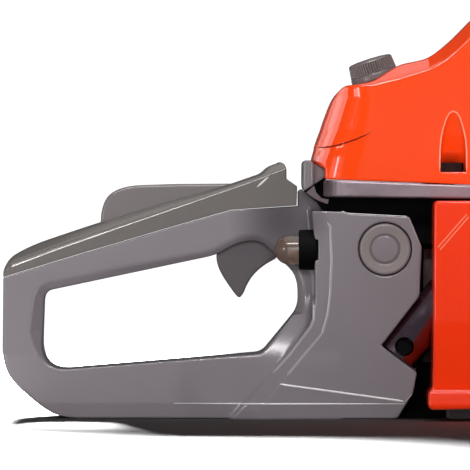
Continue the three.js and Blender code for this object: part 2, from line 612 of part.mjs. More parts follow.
const bandGap = slab([
  [CRANK.x, CRANK.z], [CRANK.x - 60, CRANK.z - 12], [CRANK.x - 60, CRANK.z + 12],
], -90, -40);
add("brake_band", cut(
  rodY(CRANK.x, CRANK.z, -73, -59, DRUM_R + 2.4, 24),
  rodY(CRANK.x, CRANK.z, -80, -50, DRUM_R + 0.8, 24),
  bandGap,
), STEEL);

// ------------------------------------------------ guide bar, chain and their fasteners
const barSide = (half, noseR) => [
  [BAR_TAIL_X, CRANK.z - 20, 12], [BAR_SHOULDER.x, CRANK.z - half, 14],
  ...Array.from({ length: 13 }, (_, i) => {
    const angle = -Math.PI / 2 + (i / 12) * Math.PI;
    return [BAR_NOSE.x + noseR * Math.cos(angle), CRANK.z + noseR * Math.sin(angle)];
  }),
  [BAR_SHOULDER.x, CRANK.z + half, 14], [BAR_TAIL_X, CRANK.z + 20, 12],
];
const STUDS = [["rear", 370], ["front", 396]];
const barHalf = BAR_THICK / 2;
const studSlot = slab([
  [363, CRANK.z - 4.4, 3], [412, CRANK.z - 4.4, 3], [412, CRANK.z + 4.4, 3], [363, CRANK.z + 4.4, 3],
], -60, -30);
add("guide_bar", cut(
  slab(barSide(BAR_SHOULDER.half, BAR_NOSE.r), BAR_Y - barHalf, BAR_Y + barHalf),
  studSlot,
  rodY(378, CRANK.z + 19, -60, -30, 3.2, 12),
  rodY(378, CRANK.z - 19, -60, -30, 3.2, 12),
  rodY(BAR_NOSE.x, CRANK.z, BAR_Y - 0.9, BAR_Y + 0.9, 30),
), STEEL);
const noseTeeth = shifted(toothed(10, 24, 20.5), BAR_NOSE.x, CRANK.z);
add("nose_sprocket", slab(noseTeeth, BAR_Y - 0.6, BAR_Y + 0.6), DARK_STEEL);

// The chain runs round the sprocket and the bar's edge; its cutters stand on its outer side.
function chainLoop(offset) {
  const corners = [];
  const arc = (x, r, from, count) => {
    for (let i = 0; i <= count; i += 1) {
      const angle = from + (i / count) * Math.PI;
      corners.push([x + (r + offset) * Math.cos(angle), CRANK.z + (r + offset) * Math.sin(angle)]);
    }
  };
  arc(BAR_NOSE.x, BAR_NOSE.r + GAP, -Math.PI / 2, 14);
  corners.push([BAR_SHOULDER.x, CRANK.z + BAR_SHOULDER.half + GAP + offset]);
  arc(CRANK.x, 17.4, Math.PI / 2, 12);
  corners.push([BAR_SHOULDER.x, CRANK.z - BAR_SHOULDER.half - GAP - offset]);
  return corners;
}
const chainHalf = CHAIN_WIDTH / 2;
const CUTTER_PITCH = 38;
const cutters = [];
for (let x = 412; x < BAR_NOSE.x; x += CUTTER_PITCH) {
  const slope = (x - BAR_SHOULDER.x) / (BAR_NOSE.x - BAR_SHOULDER.x);
  const edge = THREE.MathUtils.lerp(BAR_SHOULDER.half, BAR_NOSE.r, slope) + GAP + CHAIN_HEIGHT;
  const low = edge - 3;
  cutters.push(box(x, x + 12, BAR_Y - 3, BAR_Y + 3, CRANK.z + low, CRANK.z + edge + 2.4));
  cutters.push(box(x, x + 12, BAR_Y - 3, BAR_Y + 3, CRANK.z - edge - 2.4, CRANK.z - low));
}
add("saw_chain", join(
  slab(chainLoop(CHAIN_HEIGHT), BAR_Y - chainHalf, BAR_Y + chainHalf, { holes: [chainLoop(0)] }),
  ...cutters,
), STEEL);

for (const [end, x] of STUDS) {
  add(`bar_stud_${end}`, rodY(x, CRANK.z, -95, -ENGINE_HALF - GAP, 3.8, 12), STEEL);
  const hexagon = rodY(x, CRANK.z, -93, CLUTCH_COVER.outer - GAP, 7.4, 6);
  const flange = rodY(x, CRANK.z, -88.2, CLUTCH_COVER.outer - GAP, 9.4, 20);
  add(`bar_nut_${end}`, cut(join(hexagon, flange), rodY(x, CRANK.z, -100, -80, 4.1, 12)), STEEL);
}

const CLUTCH_SIDE = [
  [246, 124.5, 3], [245.5, 34], [243.6, 17], [242, 13, 2], [243, 7, 2], [262, 6.4], [384, 9, 10],
  [408, 28, 10], [412, 62, 10], [406, 92, 10], [372, 114, 16], [336, 124.5, 12],
];
const CLUTCH_HOLLOW = [
  [249, 121.5, 3], [248.5, 34], [247, 17], [247, 10.4, 2], [262, 9.4], [383, 12, 10], [405, 30, 10],
  [409, 62, 10], [403, 90, 10], [371, 111, 16], [335, 121.5, 12],
];
add("clutch_cover", cut(
  join(
    cut(
      slab(CLUTCH_SIDE, CLUTCH_COVER.outer, CLUTCH_COVER.inner, { chamfer: 2 }),
      slab(CLUTCH_HOLLOW, CLUTCH_COVER.outer + WALL, CLUTCH_COVER.inner + 5),
      box(378, 430, -58, -30, 18, 106),
      tubeOf(TUBE_R + 1),
    ),
    ...STUDS.map(([, x]) => rodY(x, CRANK.z, CLUTCH_COVER.outer + 1, BAR_Y - barHalf - GAP, 8, 16)),
  ),
  ...STUDS.map(([, x]) => rodY(x, CRANK.z, -100, -30, 4.3, 12)),
), ORANGE);

add("spiked_bumper", slab([
  [410.4, 22], [420, 20], [430, 27], [421, 34], [421, 42], [431, 48], [421, 55], [421, 64], [431, 70],
  [421, 77], [420, 84], [429, 92], [418, 98], [410.4, 94],
], -37.6, -33.6), STEEL);

// ------------------------------------------------ flywheel and recoil starter
const FLYWHEEL_R = 44;
const blades = Array.from({ length: 10 }, (_, i) =>
  box(18, 41, 55, 62, -1.2, 1.2).rotate([0, (i * 360) / 10, 0]).translate([CRANK.x, 0, CRANK.z]));
add("flywheel", cut(
  join(rodY(CRANK.x, CRANK.z, 43, 56, FLYWHEEL_R, 24), rodY(CRANK.x, CRANK.z, 55, 64, 17), ...blades),
  rodY(CRANK.x, CRANK.z, 30, 80, 6 + GAP, 16),
), CAST);
const coilBase = CRANK.z + FLYWHEEL_R + 1.4;
add("ignition_coil", box(308, 332, 42, 52, coilBase, coilBase + 16.6), BLACK);

const STARTER_SIDE = [
  [264, 24, 8], [264, 112, 12], [290, 130, 10], [350, 130, 14], [380, 104, 12], [380, 52, 8],
  [366, 14, 10], [276, 12, 8],
];
const STARTER_HOLLOW = [
  [267, 26, 8], [267, 111, 12], [291, 127, 10], [349, 127, 14], [377, 103, 12], [377, 53, 8],
  [364, 17, 10], [278, 15, 8],
];
const slots = Array.from({ length: 10 }, (_, i) =>
  box(20, 40, 80, 95, -1.8, 1.8).rotate([0, i * 36 + 18, 0]).translate([CRANK.x, 0, CRANK.z]));
add("starter_housing", cut(
  join(
    cut(
      slab(STARTER_SIDE, STARTER.inner + GAP, STARTER.outer, { chamfer: 3 }),
      slab(STARTER_HOLLOW, STARTER.inner - 5, STARTER.outer - WALL),
    ),
    rodY(CRANK.x, CRANK.z, 71, STARTER.outer - 1, 6.6, 16),
    rod([STARTER.rope_x, STARTER.rope_y, 124], [STARTER.rope_x, STARTER.rope_y, 132], 6.5, 16),
  ),
  rod([STARTER.rope_x, STARTER.rope_y, 100], [STARTER.rope_x, STARTER.rope_y, 140], 3, 12),
  box(368, 412, 30, 60, 10, 46.4),
  ...slots,
), ORANGE);

const PULLEY_R = CRANK.x - STARTER.rope_x;
add("starter_pulley", turned([
  [7.2, 0], [PULLEY_R + 7, 0], [PULLEY_R + 7, 1.6], [PULLEY_R - 3, 1.8], [PULLEY_R - 3, 6.2],
  [PULLEY_R + 7, 6.4], [PULLEY_R + 7, 8], [7.2, 8], [7.2, 0],
], [CRANK.x, 70, CRANK.z], [CRANK.x, 80, CRANK.z]), BLACK);
add("recoil_spring", cut(
  rodY(CRANK.x, CRANK.z, 78.6, 84, 20),
  rodY(CRANK.x, CRANK.z, 60, 90, 7.4, 16),
), DARK_STEEL);
const ropeAt = (z) => [STARTER.rope_x, STARTER.rope_y, z];
add("starter_rope", join(
  cut(
    rodY(CRANK.x, CRANK.z, 72.2, 75.8, PULLEY_R + 1.4),
    rodY(CRANK.x, CRANK.z, 60, 90, PULLEY_R - 2.2),
  ),
  rod(ropeAt(CRANK.z), ropeAt(136.4), 1.6, 10),
), FELT);
const PULL_GRIP = [
  [-26, 147, 4], [-10, 141, 4], [-7, 133], [7, 133], [10, 141, 4], [26, 147, 4], [24, 157, 4], [0, 160, 8],
  [-24, 157, 4],
];
add("starter_grip", cut(
  slab(shifted(PULL_GRIP, STARTER.rope_x, 0), STARTER.rope_y - 8, STARTER.rope_y + 8, { chamfer: 2.5 }),
  rod(ropeAt(120), ropeAt(137), 2, 12),
), BLACK);

// ------------------------------------------------ front hand guard
const GUARD_PIVOT = { x: 366, z: 132 };
const GUARD_ARM = [
  [GUARD_PIVOT.x - 9, GUARD_PIVOT.z - 4, 5], [GUARD_PIVOT.x - 2, GUARD_PIVOT.z - 10, 5],
  [GUARD_PIVOT.x + 8, GUARD_PIVOT.z - 6, 5], [GUARD_PIVOT.x + 18, 170, 8], [400, 214, 8], [412, 226],
  [412, 244, 6], [398, 244, 6], [384, 216, 8], [GUARD_PIVOT.x, 170, 8],
];
const GUARD_PLATE = [
  [398, 214, 3], [405, 212, 3], [415, 262, 4], [414, 292, 3], [408, 292, 3], [408, 264, 4],
];
const GUARD_ARMS = { right: [-70, -62], left: [60, 68] };
const guardOutline = prism([
  [-70, 205, 8], [-70, 276, 16], [-44, 292, 10], [70, 292, 14], [104, 270, 14], [104, 240, 12],
  [68, 205, 8],
], 380, 430);
add("hand_guard", cut(
  join(
    common(slab(GUARD_PLATE, -70, 104), guardOutline),
    slab(GUARD_ARM, ...GUARD_ARMS.right),
    slab(GUARD_ARM, ...GUARD_ARMS.left),
  ),
  rodY(GUARD_PIVOT.x, GUARD_PIVOT.z, -100, 100, 3.4, 16),
), BLACK);
add("guard_pivot_bolt", join(
  rodY(GUARD_PIVOT.x, GUARD_PIVOT.z, 52, GUARD_ARMS.left[1] + 1, 3, 16),
  rodY(GUARD_PIVOT.x, GUARD_PIVOT.z, GUARD_ARMS.left[1] + GAP, GUARD_ARMS.left[1] + 3, 6, 16),
), STEEL);

saw.position.x = -CRANK.x;
export default saw;
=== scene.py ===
"""Looks of the petrol chainsaw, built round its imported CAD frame."""

import math

import bmesh
import bpy
import numpy as np
from mathutils import Matrix, Vector

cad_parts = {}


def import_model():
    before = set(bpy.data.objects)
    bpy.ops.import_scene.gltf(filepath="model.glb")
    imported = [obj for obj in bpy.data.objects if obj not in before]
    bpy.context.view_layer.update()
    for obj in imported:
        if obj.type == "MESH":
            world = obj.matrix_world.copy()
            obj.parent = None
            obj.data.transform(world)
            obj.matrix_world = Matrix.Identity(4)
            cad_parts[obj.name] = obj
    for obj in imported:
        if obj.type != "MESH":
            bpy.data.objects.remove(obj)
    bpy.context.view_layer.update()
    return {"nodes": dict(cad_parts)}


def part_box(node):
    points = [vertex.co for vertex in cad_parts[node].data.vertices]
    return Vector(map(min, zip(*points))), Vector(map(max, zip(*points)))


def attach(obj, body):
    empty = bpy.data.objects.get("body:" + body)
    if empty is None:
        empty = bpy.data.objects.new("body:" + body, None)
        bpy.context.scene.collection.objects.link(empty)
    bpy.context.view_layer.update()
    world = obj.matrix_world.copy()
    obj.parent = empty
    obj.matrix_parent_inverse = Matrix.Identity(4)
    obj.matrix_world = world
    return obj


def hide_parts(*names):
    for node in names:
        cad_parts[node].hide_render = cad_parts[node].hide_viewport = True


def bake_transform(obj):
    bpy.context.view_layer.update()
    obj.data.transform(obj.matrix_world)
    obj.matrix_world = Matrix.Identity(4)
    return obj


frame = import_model()

# ---------------------------------------------------------------- driving values, in millimetres
MM = 0.001
REAR_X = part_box("rear_handle")[0][0]  # x below is measured forward from the back of the rear handle
CRANK = (320, 62)  # crankshaft axis (x, z)
TANK_SIDE = 46
NOTCH_Y = -22
TUBE_R = 12
TUBE_SLOPE = math.radians(52)
SLEEVE_R = 15.2
MOUNT = (218.5, 97)
PRIMER = (180, -32.5, 96.5)
BAR_Y = -45
ROPE = (294, 74)  # the starter rope's (x, y)
CHOKE = (236, 156)
FUEL_FILLER = (207, 56)
GUARD_PIVOT = (366, 132)
SKIN_STEP = 1.0
SMALL_STEP = 0.7  # for small pieces


def world(points):
    """Millimetres from the back of the rear handle, as metres in the shared frame."""
    points = np.asarray(points, dtype=float) * MM
    points[..., 0] += REAR_X
    return points


# ---------------------------------------------------------------- materials
def srgb(red, green, blue):
    """An eight-bit screen colour as linear light."""
    def linear(c):
        c /= 255
        return c / 12.92 if c <= 0.04045 else ((c + 0.055) / 1.055) ** 2.4
    return (linear(red), linear(green), linear(blue), 1)


class Nodes:
    """A material's node tree, with short calls for the nodes used here."""

    def __init__(self, name):
        self.material = bpy.data.materials.new(name)
        self.material.use_nodes = True
        self.tree = self.material.node_tree
        self.shader = self.tree.nodes["Principled BSDF"]
        self.place = self.add("ShaderNodeTexCoord").outputs["Object"]

    def add(self, kind, inputs=None, **settings):
        node = self.tree.nodes.new(kind)
        for key, value in settings.items():
            setattr(node, key, value)
        for key, value in (inputs or {}).items():
            self.feed(node.inputs[key], value)
        return node

    def feed(self, socket, value):
        if isinstance(value, bpy.types.NodeSocket):
            self.tree.links.new(value, socket)
        else:
            socket.default_value = value

    def noise(self, scale, detail=3, roughness=0.55, stretch=None):
        place = self.place
        if stretch:
            place = self.add("ShaderNodeMapping", {"Vector": place, "Scale": stretch}).outputs[0]
        return self.add("ShaderNodeTexNoise", {
            "Vector": place, "Scale": scale, "Detail": detail, "Roughness": roughness}).outputs["Fac"]

    def distance(self, centre):
        """How far the shaded spot is from a centre."""
        ends = {0: self.place, 1: centre}
        return self.add("ShaderNodeVectorMath", ends, operation="DISTANCE").outputs["Value"]

    def ramp(self, value, low, high, start=0.3, end=0.7):
        """Maps a value between two numbers."""
        return self.add("ShaderNodeMapRange", {
            "Value": value, "From Min": start, "From Max": end, "To Min": low, "To Max": high}).outputs[0]

    def blend(self, share, first, second):
        node = self.add("ShaderNodeMix", data_type="RGBA")
        self.feed(node.inputs["Factor"], share)
        self.feed(node.inputs["A"], first)
        self.feed(node.inputs["B"], second)
        return node.outputs["Result"]

    def bump(self, height, strength, distance=0.0002, under=None):
        inputs = {"Height": height, "Strength": strength, "Distance": distance}
        if under:
            inputs["Normal"] = under
        return self.add("ShaderNodeBump", inputs).outputs[0]

    def surface(self, **sockets):
        names = {"color": "Base Color", "coat": "Coat Weight", "coat_roughness": "Coat Roughness",
                 "specular": "Specular IOR Level", "transmission": "Transmission Weight",
                 "subsurface": "Subsurface Weight", "subsurface_scale": "Subsurface Scale"}
        for key, value in sockets.items():
            self.feed(self.shader.inputs[names.get(key, key.capitalize())], value)
        return self.material


def tinted(color, factor):
    return (color[0] * factor, color[1] * factor, color[2] * factor, 1)


def plastic(name, color, roughness, grain=0.08, coat=0.0, spread=0.03, shine=0.5, painted_shade=None):
    """Moulded nylon: faint cloudiness in the colour, a fine grain, and handling marks in its gloss.
    painted_shade: the centre and reach, in metres, of a patch of painted shade that darkens the colour, and
    how dark it is."""
    n = Nodes(name)
    cloud = n.noise(26, 4)
    tone = n.blend(n.ramp(cloud, 0, 1), tinted(color, 1 - spread), tinted(color, 1 + spread))
    # painted shade: the colour darkens towards the patch's centre, standing in for shade that falls there
    if painted_shade:
        centre, reach, depth = painted_shade
        away = n.distance(tuple(centre))
        tone = n.blend(n.ramp(away, 0, 1, 0.25 * reach, reach), tinted(color, depth), tone)
    rough = n.ramp(n.noise(24, 1), roughness - 0.015, roughness + 0.02)
    fine = n.bump(n.noise(1500, 2), grain, 0.00004)
    wavy = n.bump(n.noise(60, 1), 0.12, 0.0001, under=fine)
    return n.surface(color=tone, roughness=rough, normal=wavy, specular=shine, coat=coat,
                     coat_roughness=0.08)


def metal(name, color, roughness, brushed=None, pits=0.1):
    """Bare metal, brushed along an axis or cast, with darker stains."""
    n = Nodes(name)
    stain = n.noise(45, 5, 0.65)
    tone = n.blend(n.ramp(stain, 0, 1), tinted(color, 0.82), color)
    rough = n.ramp(n.noise(120, 4), roughness - 0.06, roughness + 0.1)
    texture = n.noise(900, 3, stretch=brushed) if brushed else n.noise(1300, 4)
    return n.surface(color=tone, roughness=rough, metallic=1.0, normal=n.bump(texture, pits, 0.0002))


def rubber(name, color, roughness=0.75):
    n = Nodes(name)
    dust = n.blend(n.ramp(n.noise(35, 5), 0, 1, 0.45, 0.75), color, tinted(color, 1.9))
    pebbles = n.add("ShaderNodeTexVoronoi", {"Vector": n.place, "Scale": 1500.0}).outputs["Distance"]
    rough = n.ramp(n.noise(70, 4), roughness - 0.08, roughness + 0.08)
    return n.surface(color=dust, roughness=rough, normal=n.bump(pebbles, 0.35, 0.0002))


# painted shade: the handle's grey darkens round the neck above the trigger, where shade falls
NECK_SHADE_CENTRE = world((162, -24, 114))
handle_grey = plastic("handle_grey", srgb(127, 120, 125), 0.23, painted_shade=(NECK_SHADE_CENTRE, 0.034, 0.4))
cover_grey = plastic("cover_grey", srgb(108, 103, 100), 0.14)
lever_grey = plastic("lever_grey", srgb(117, 110, 111), 0.34)
# painted shade: the trigger's grey is darker than the handle's, standing in for the shade under the grip
shaded_trigger_grey = plastic("shaded_trigger_grey", srgb(92, 86, 89), 0.32)
cap_grey = plastic("cap_grey", srgb(134, 126, 126), 0.32)
knob_grey = plastic("knob_grey", srgb(112, 104, 104), 0.32)
elbow_grey = plastic("elbow_grey", srgb(124, 117, 120), 0.2)
# painted highlight: a paler grey for the thin ribs along the tank's and panel's edges, standing in for the
# light those edges catch
highlight_grey = plastic("highlight_grey", srgb(160, 153, 157), 0.16, shine=0.8)
# painted highlight: near-white ribs along the base, the panel and the grip cover's hook stand in for bright
# edge highlights
highlight_white = plastic("highlight_white", srgb(226, 222, 224), 0.2, shine=0.8)
# painted shade: the orange shell goes nearly black deep in each side scoop, where shade falls
SCOOP_SHADE_CENTRE = world((255, -27, 142))
orange = plastic("orange_shell", srgb(255, 72, 12), 0.12, 0.02, coat=0.15, spread=0.015,
                 painted_shade=(SCOOP_SHADE_CENTRE, 0.0165, 0.03))
orange_cover = plastic("orange_cover", srgb(252, 54, 5), 0.14, 0.02, coat=0.1, spread=0.015)
# painted highlight: a pale orange for the vent's rim and the two score lines on the clutch cover, standing in
# for the light they catch
highlight_orange = plastic("highlight_orange", srgb(255, 150, 116), 0.2, 0.02, shine=0.8)
# painted shade: a dark red thread in the hood's crease stands in for the shadow line under its step
crease_shade_red = plastic("crease_shade_red", srgb(110, 16, 6), 0.5, 0.02, shine=0.1)
black = plastic("black_plastic", srgb(12, 10, 11), 0.4, 0.12, shine=0.3)
deep_black = plastic("shadow_black", srgb(6, 5, 6), 0.7, 0.1, shine=0.08)
matt_black = rubber("black_rubber", srgb(20, 18, 18))
red = plastic("red_plastic", srgb(190, 34, 24), 0.32)
felt = rubber("filter_felt", srgb(206, 198, 176), 0.9)
porcelain = plastic("porcelain", srgb(236, 232, 224), 0.15, 0.02, coat=0.6)
alloy = metal("cast_alloy", srgb(186, 176, 182), 0.42, pits=0.35)
dark_alloy = metal("crankcase_alloy", srgb(138, 124, 126), 0.5, pits=0.45)
band_metal = metal("band_alloy", srgb(178, 162, 170), 0.56, pits=0.5)
steel = metal("ground_steel", srgb(196, 194, 190), 0.35, brushed=(1, 30, 30))
bar_steel = metal("bar_steel", srgb(178, 176, 172), 0.35, brushed=(1, 40, 40), pits=0.15)
chain_steel = metal("chain_steel", srgb(128, 122, 116), 0.34)
dark_steel = metal("oiled_steel", srgb(96, 90, 88), 0.38)
heat_steel = metal("heated_steel", srgb(112, 100, 92), 0.46, pits=0.3)
chrome = metal("plated_tube", srgb(178, 150, 166), 0.14, pits=0.02)
brass = metal("brass", srgb(196, 160, 96), 0.35)


def braided_cord():
    n = Nodes("rope_weave")
    strands = {"Vector": n.place, "Scale": 260.0, "Distortion": 2.0}
    weave = n.add("ShaderNodeTexWave", strands).outputs["Fac"]
    tone = n.blend(n.ramp(weave, 0, 1), srgb(205, 200, 186), srgb(120, 30, 24))
    return n.surface(color=tone, roughness=n.ramp(n.noise(200), 0.7, 0.9), normal=n.bump(weave, 0.6, 0.0003))


rope_weave = braided_cord()


def amber_plastic():
    n = Nodes("amber_bulb")
    tone = n.blend(n.ramp(n.noise(80, 3), 0, 1), srgb(132, 112, 102), srgb(152, 130, 118))
    rough = n.ramp(n.noise(150, 3), 0.12, 0.24)
    return n.surface(color=tone, roughness=rough, transmission=0.55, subsurface=0.3, subsurface_scale=0.004)


amber = amber_plastic()


# ---------------------------------------------------------------- smooth solids from signed distances
def rounded(corners, steps=5):
    """Corners (a, b[, cut]) as an outline: a corner with a cut is rounded off from that far away."""
    points = []
    plain = [np.array(c[:2], float) for c in corners]
    for i, corner in enumerate(corners):
        here = plain[i]
        if len(corner) < 3:
            points.append(here)
            continue
        back = plain[i - 1] - here
        ahead = plain[(i + 1) % len(plain)] - here
        start = here + back * min(0.49, corner[2] / np.linalg.norm(back))
        end = here + ahead * min(0.49, corner[2] / np.linalg.norm(ahead))
        for t in np.linspace(0, 1, steps + 1):
            points.append((1 - t) ** 2 * start + 2 * t * (1 - t) * here + t ** 2 * end)
    return np.array(points)


def mirrored(half):
    """Corners (x, y[, cut]) followed by their mirror images across y = 0."""
    return half + [(x, -y, *cut) for x, y, *cut in reversed(half)]


def outline(points, a, b):
    """Signed distance to a closed outline, negative inside."""
    nearest = np.full(a.shape, np.inf)
    outside = np.ones(a.shape, bool)
    for (p0, p1), (q0, q1) in zip(points, np.roll(points, -1, axis=0)):
        e0, e1 = q0 - p0, q1 - p1
        w0, w1 = a - p0, b - p1
        t = np.clip((w0 * e0 + w1 * e1) / (e0 * e0 + e1 * e1), 0, 1)
        nearest = np.minimum(nearest, (w0 - e0 * t) ** 2 + (w1 - e1 * t) ** 2)
        crosses = (b >= p1) != (b >= q1)
        left = (e0 * w1 > e1 * w0) == (q1 > p1)
        outside ^= crosses & left
    return np.where(outside, 1, -1) * np.sqrt(nearest)


def both(a, b, r=0.0):
    """Where a and b overlap, with the edge rounded to radius r."""
    return np.minimum(np.maximum(a, b), -r) + np.hypot(np.maximum(a + r, 0), np.maximum(b + r, 0))


def either(a, b, r=0.0):
    """a joined to b, with a fillet of radius r."""
    return np.maximum(np.minimum(a, b), r) - np.hypot(np.maximum(r - a, 0), np.maximum(r - b, 0))


def less(a, b, r=0.0):
    """a with b cut out of it."""
    return both(a, -b, r)


def bevelled(a, b, size):
    """Where a and b overlap, with the edge cut off at 45 degrees and its two new edges eased."""
    return both(both(a, b), (a + b + size) * 0.7071, 0.9)


def positive(a, soft=1.0):
    """a where it is above zero, with a rounded turn."""
    return 0.5 * (a + np.sqrt(a * a + soft * soft))


def step_up(a, low, high):
    t = np.clip((a - low) / (high - low), 0, 1)
    return t * t * (3 - 2 * t)


def between(value, low, high):
    """Distance to a slab from low to high."""
    return np.abs(value - (low + high) / 2) - (high - low) / 2


def block(x, y, z, low, high, r=0.0):
    """Distance to a box."""
    return both(both(between(x, low[0], high[0]), between(y, low[1], high[1]), r),
                between(z, low[2], high[2]), r)


def barrel(across, up, along, r, low, high, edge=0.0):
    """Distance to a round bar from low to high."""
    return both(np.hypot(across, up) - r, between(along, low, high), edge)


def surface_net(field):
    """Vertices and quads on a grid's zero surface."""
    inside = field < 0
    cells_shape = [n - 1 for n in field.shape]
    corners = [(i, j, k) for i in (0, 1) for j in (0, 1) for k in (0, 1)]
    filled = np.zeros(cells_shape, np.int8)
    for i, j, k in corners:
        filled += inside[i:i + cells_shape[0], j:j + cells_shape[1], k:k + cells_shape[2]]
    active = (filled > 0) & (filled < 8)
    cells = np.argwhere(active)
    number = np.full(cells_shape, -1, np.int64)
    number[active] = np.arange(len(cells))
    total = np.zeros((len(cells), 3))
    crossings = np.zeros(len(cells))
    for a in corners:
        for axis in range(3):
            if a[axis]:
                continue
            b = tuple(v + (n == axis) for n, v in enumerate(a))
            fa = field[tuple((cells + a).T)].astype(float)
            fb = field[tuple((cells + b).T)].astype(float)
            cross = (fa < 0) != (fb < 0)
            share = np.where(cross, fa / np.where(cross, fa - fb, 1), 0)
            total[cross] += (np.array(a) + share[:, None] * (np.array(b) - np.array(a)))[cross]
            crossings += cross
    vertices = cells + total / crossings[:, None]
    quads = []
    for axis in range(3):
        u, v = (axis + 1) % 3, (axis + 2) % 3
        lower = [slice(None)] * 3
        upper = [slice(None)] * 3
        lower[axis], upper[axis] = slice(0, -1), slice(1, None)
        lo, hi = inside[tuple(lower)], inside[tuple(upper)]
        for entering in (False, True):
            spots = np.argwhere((lo != hi) & (lo == entering))
            spots = spots[(spots[:, u] > 0) & (spots[:, v] > 0)]
            ring = []
            for du, dv in ((0, 0), (1, 0), (1, 1), (0, 1)):
                cell = spots.copy()
                cell[:, u] -= du
                cell[:, v] -= dv
                ring.append(number[tuple(cell.T)])
            ring = np.stack(ring, axis=1)
            quads.append(ring if entering else ring[:, ::-1])
    return vertices, np.concatenate(quads)


def slope(shape, points, reach):
    """The distance's gradient at points."""
    gradient = np.empty_like(points)
    for axis in range(3):
        step = np.zeros(3)
        step[axis] = reach
        gradient[:, axis] = (shape(*(points + step).T) - shape(*(points - step).T)) / (2 * reach)
    return gradient


FAR = 50.0  # stands for any distance too large to matter


def skin_points(shape, low, high, step):
    """Vertices, quads and normals of the surface where shape(x, y, z) is zero, between two corners."""
    low, high = np.array(low, float) - 2 * step, np.array(high, float) + 2 * step
    counts = np.ceil((high - low) / step).astype(int) + 1
    axes = [low[i] + step * np.arange(counts[i]) for i in range(3)]
    size = 6
    blocks = [axis[:: size] + step * size / 2 for axis in axes]
    coarse = shape(*[g.ravel() for g in np.meshgrid(*blocks, indexing="ij")])
    coarse = coarse.reshape([len(b) for b in blocks])
    near = np.abs(coarse) < step * size * 1.9
    spread = [np.repeat(np.arange(len(b)), size)[:n] for b, n in zip(blocks, counts)]
    mask = near[np.ix_(*spread)]
    field = np.where(coarse[np.ix_(*spread)] < 0, -FAR, FAR).astype(np.float32)
    spots = np.argwhere(mask)
    values = np.empty(len(spots), np.float32)
    chunk = 400000
    for start in range(0, len(spots), chunk):
        part = low + spots[start:start + chunk] * step
        values[start:start + chunk] = shape(*part.T)
    field[mask] = values
    vertices, quads = surface_net(field)
    vertices = low + vertices * step
    for _ in range(3):
        gradient = slope(shape, vertices, 0.08)
        strength = np.maximum((gradient ** 2).sum(1), 0.2)
        move = gradient * (shape(*vertices.T) / strength)[:, None]
        length = np.maximum(np.linalg.norm(move, axis=1), 1e-9)
        vertices -= move * np.minimum(1, 0.6 * step / length)[:, None]
    normals = slope(shape, vertices, 0.35 * step)
    normals /= np.maximum(np.linalg.norm(normals, axis=1), 1e-9)[:, None]
    return vertices, quads, normals


def finish_piece(obj, body, material, stands_for=(), slot=None):
    bpy.context.scene.collection.objects.link(obj)
    if material:
        obj.data.materials.append(material)
    if body:
        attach(obj, body)
    if stands_for:
        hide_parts(*stands_for)
    return obj


def mesh_object(name, vertices, faces, smooth=True):
    """A mesh from points in millimetres from the back of the rear handle."""
    mesh = bpy.data.meshes.new(name)
    mesh.from_pydata(world(vertices).tolist(), [], [list(map(int, f)) for f in faces])
    mesh.update()
    mesh.polygons.foreach_set("use_smooth", [smooth] * len(mesh.polygons))
    return bpy.data.objects.new(name, mesh)


def bench_box(node, margin):
    """A CAD node's corners in millimetres from the back of the rear handle, with a margin."""
    low, high = (np.array(corner, float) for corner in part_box(node))
    shift = np.array([REAR_X, 0, 0])
    return (low - shift) / MM - margin, (high - shift) / MM + margin


def carved(name, shape, node, material, slot, body="powerhead", step=SKIN_STEP, margin=3.0):
    """A piece given by a signed distance. It stands for a CAD node and lies near that node's box."""
    vertices, quads, normals = skin_points(shape, *bench_box(node, margin), step)
    obj = mesh_object(name, vertices, quads)
    obj.data.normals_split_custom_set_from_vertices(normals.tolist())
    return finish_piece(obj, body, material, [node], slot)


def on_side(shape, line, sign, spacing=1.2):
    """Points along a line (x, z), laid on a shape's right (sign -1) or left (1) face."""
    line = np.array(line, float)
    gone = np.concatenate([[0], np.cumsum(np.hypot(*np.diff(line, axis=0).T))])
    at = np.linspace(0, gone[-1], max(8, round(gone[-1] / spacing)))
    x, z = (np.interp(at, gone, line[:, k]) for k in (0, 1))
    y = np.full(x.shape, sign * 100.0)
    for _ in range(90):
        y = y - sign * shape(x, y, z) * 0.8
    met = np.abs(shape(x, y, z)) < 0.2
    return np.stack([x, y, z], axis=-1)[met]


# ---------------------------------------------------------------- turned pieces
def turned(name, profile, start, toward, body, material, stands_for=(), slot=None, turns=96, wave=None):
    """A piece turned about the line from start towards toward. profile: (radius, height) pairs."""
    start, toward = Vector(start), Vector(toward)
    up = (toward - start).normalized()
    side = up.orthogonal().normalized()
    other = up.cross(side)
    points, faces = [], []
    for r, h in profile:
        for i in range(turns):
            angle = 2 * math.pi * i / turns
            radius = r + (wave(angle, r, h) if wave else 0)
            outward = side * math.cos(angle) + other * math.sin(angle)
            points.append(start + up * h + outward * radius)
    rings = len(profile)
    for ring in range(rings - 1):
        for i in range(turns):
            j = (i + 1) % turns
            low, high = ring * turns, (ring + 1) * turns
            faces.append((low + i, low + j, high + j, high + i))
    faces.append(tuple(reversed(range(turns))))
    faces.append(tuple((rings - 1) * turns + i for i in range(turns)))
    obj = mesh_object(name, [tuple(p) for p in points], faces)
    sharpen(obj)
    return finish_piece(obj, body, material, stands_for, slot)


def sharpen(obj, angle=35):
    """Smooth shading, with edges sharper than an angle left crisp."""
    obj.data.set_sharp_from_angle(angle=math.radians(angle))


def eased(profile, radius=0.8, steps=4):
    """A turned profile with its corners rounded, its two ends kept."""
    result = [profile[0]]
    for before, here, after in zip(profile, profile[1:], profile[2:]):
        here = np.array(here, float)
        back, ahead = np.array(before) - here, np.array(after) - here
        cut = min(radius, 0.45 * np.linalg.norm(back), 0.45 * np.linalg.norm(ahead))
        start = here + back / np.linalg.norm(back) * cut
        end = here + ahead / np.linalg.norm(ahead) * cut
        for t in np.linspace(0, 1, steps + 1):
            result.append(tuple((1 - t) ** 2 * start + 2 * t * (1 - t) * here + t ** 2 * end))
    return result + [profile[-1]]


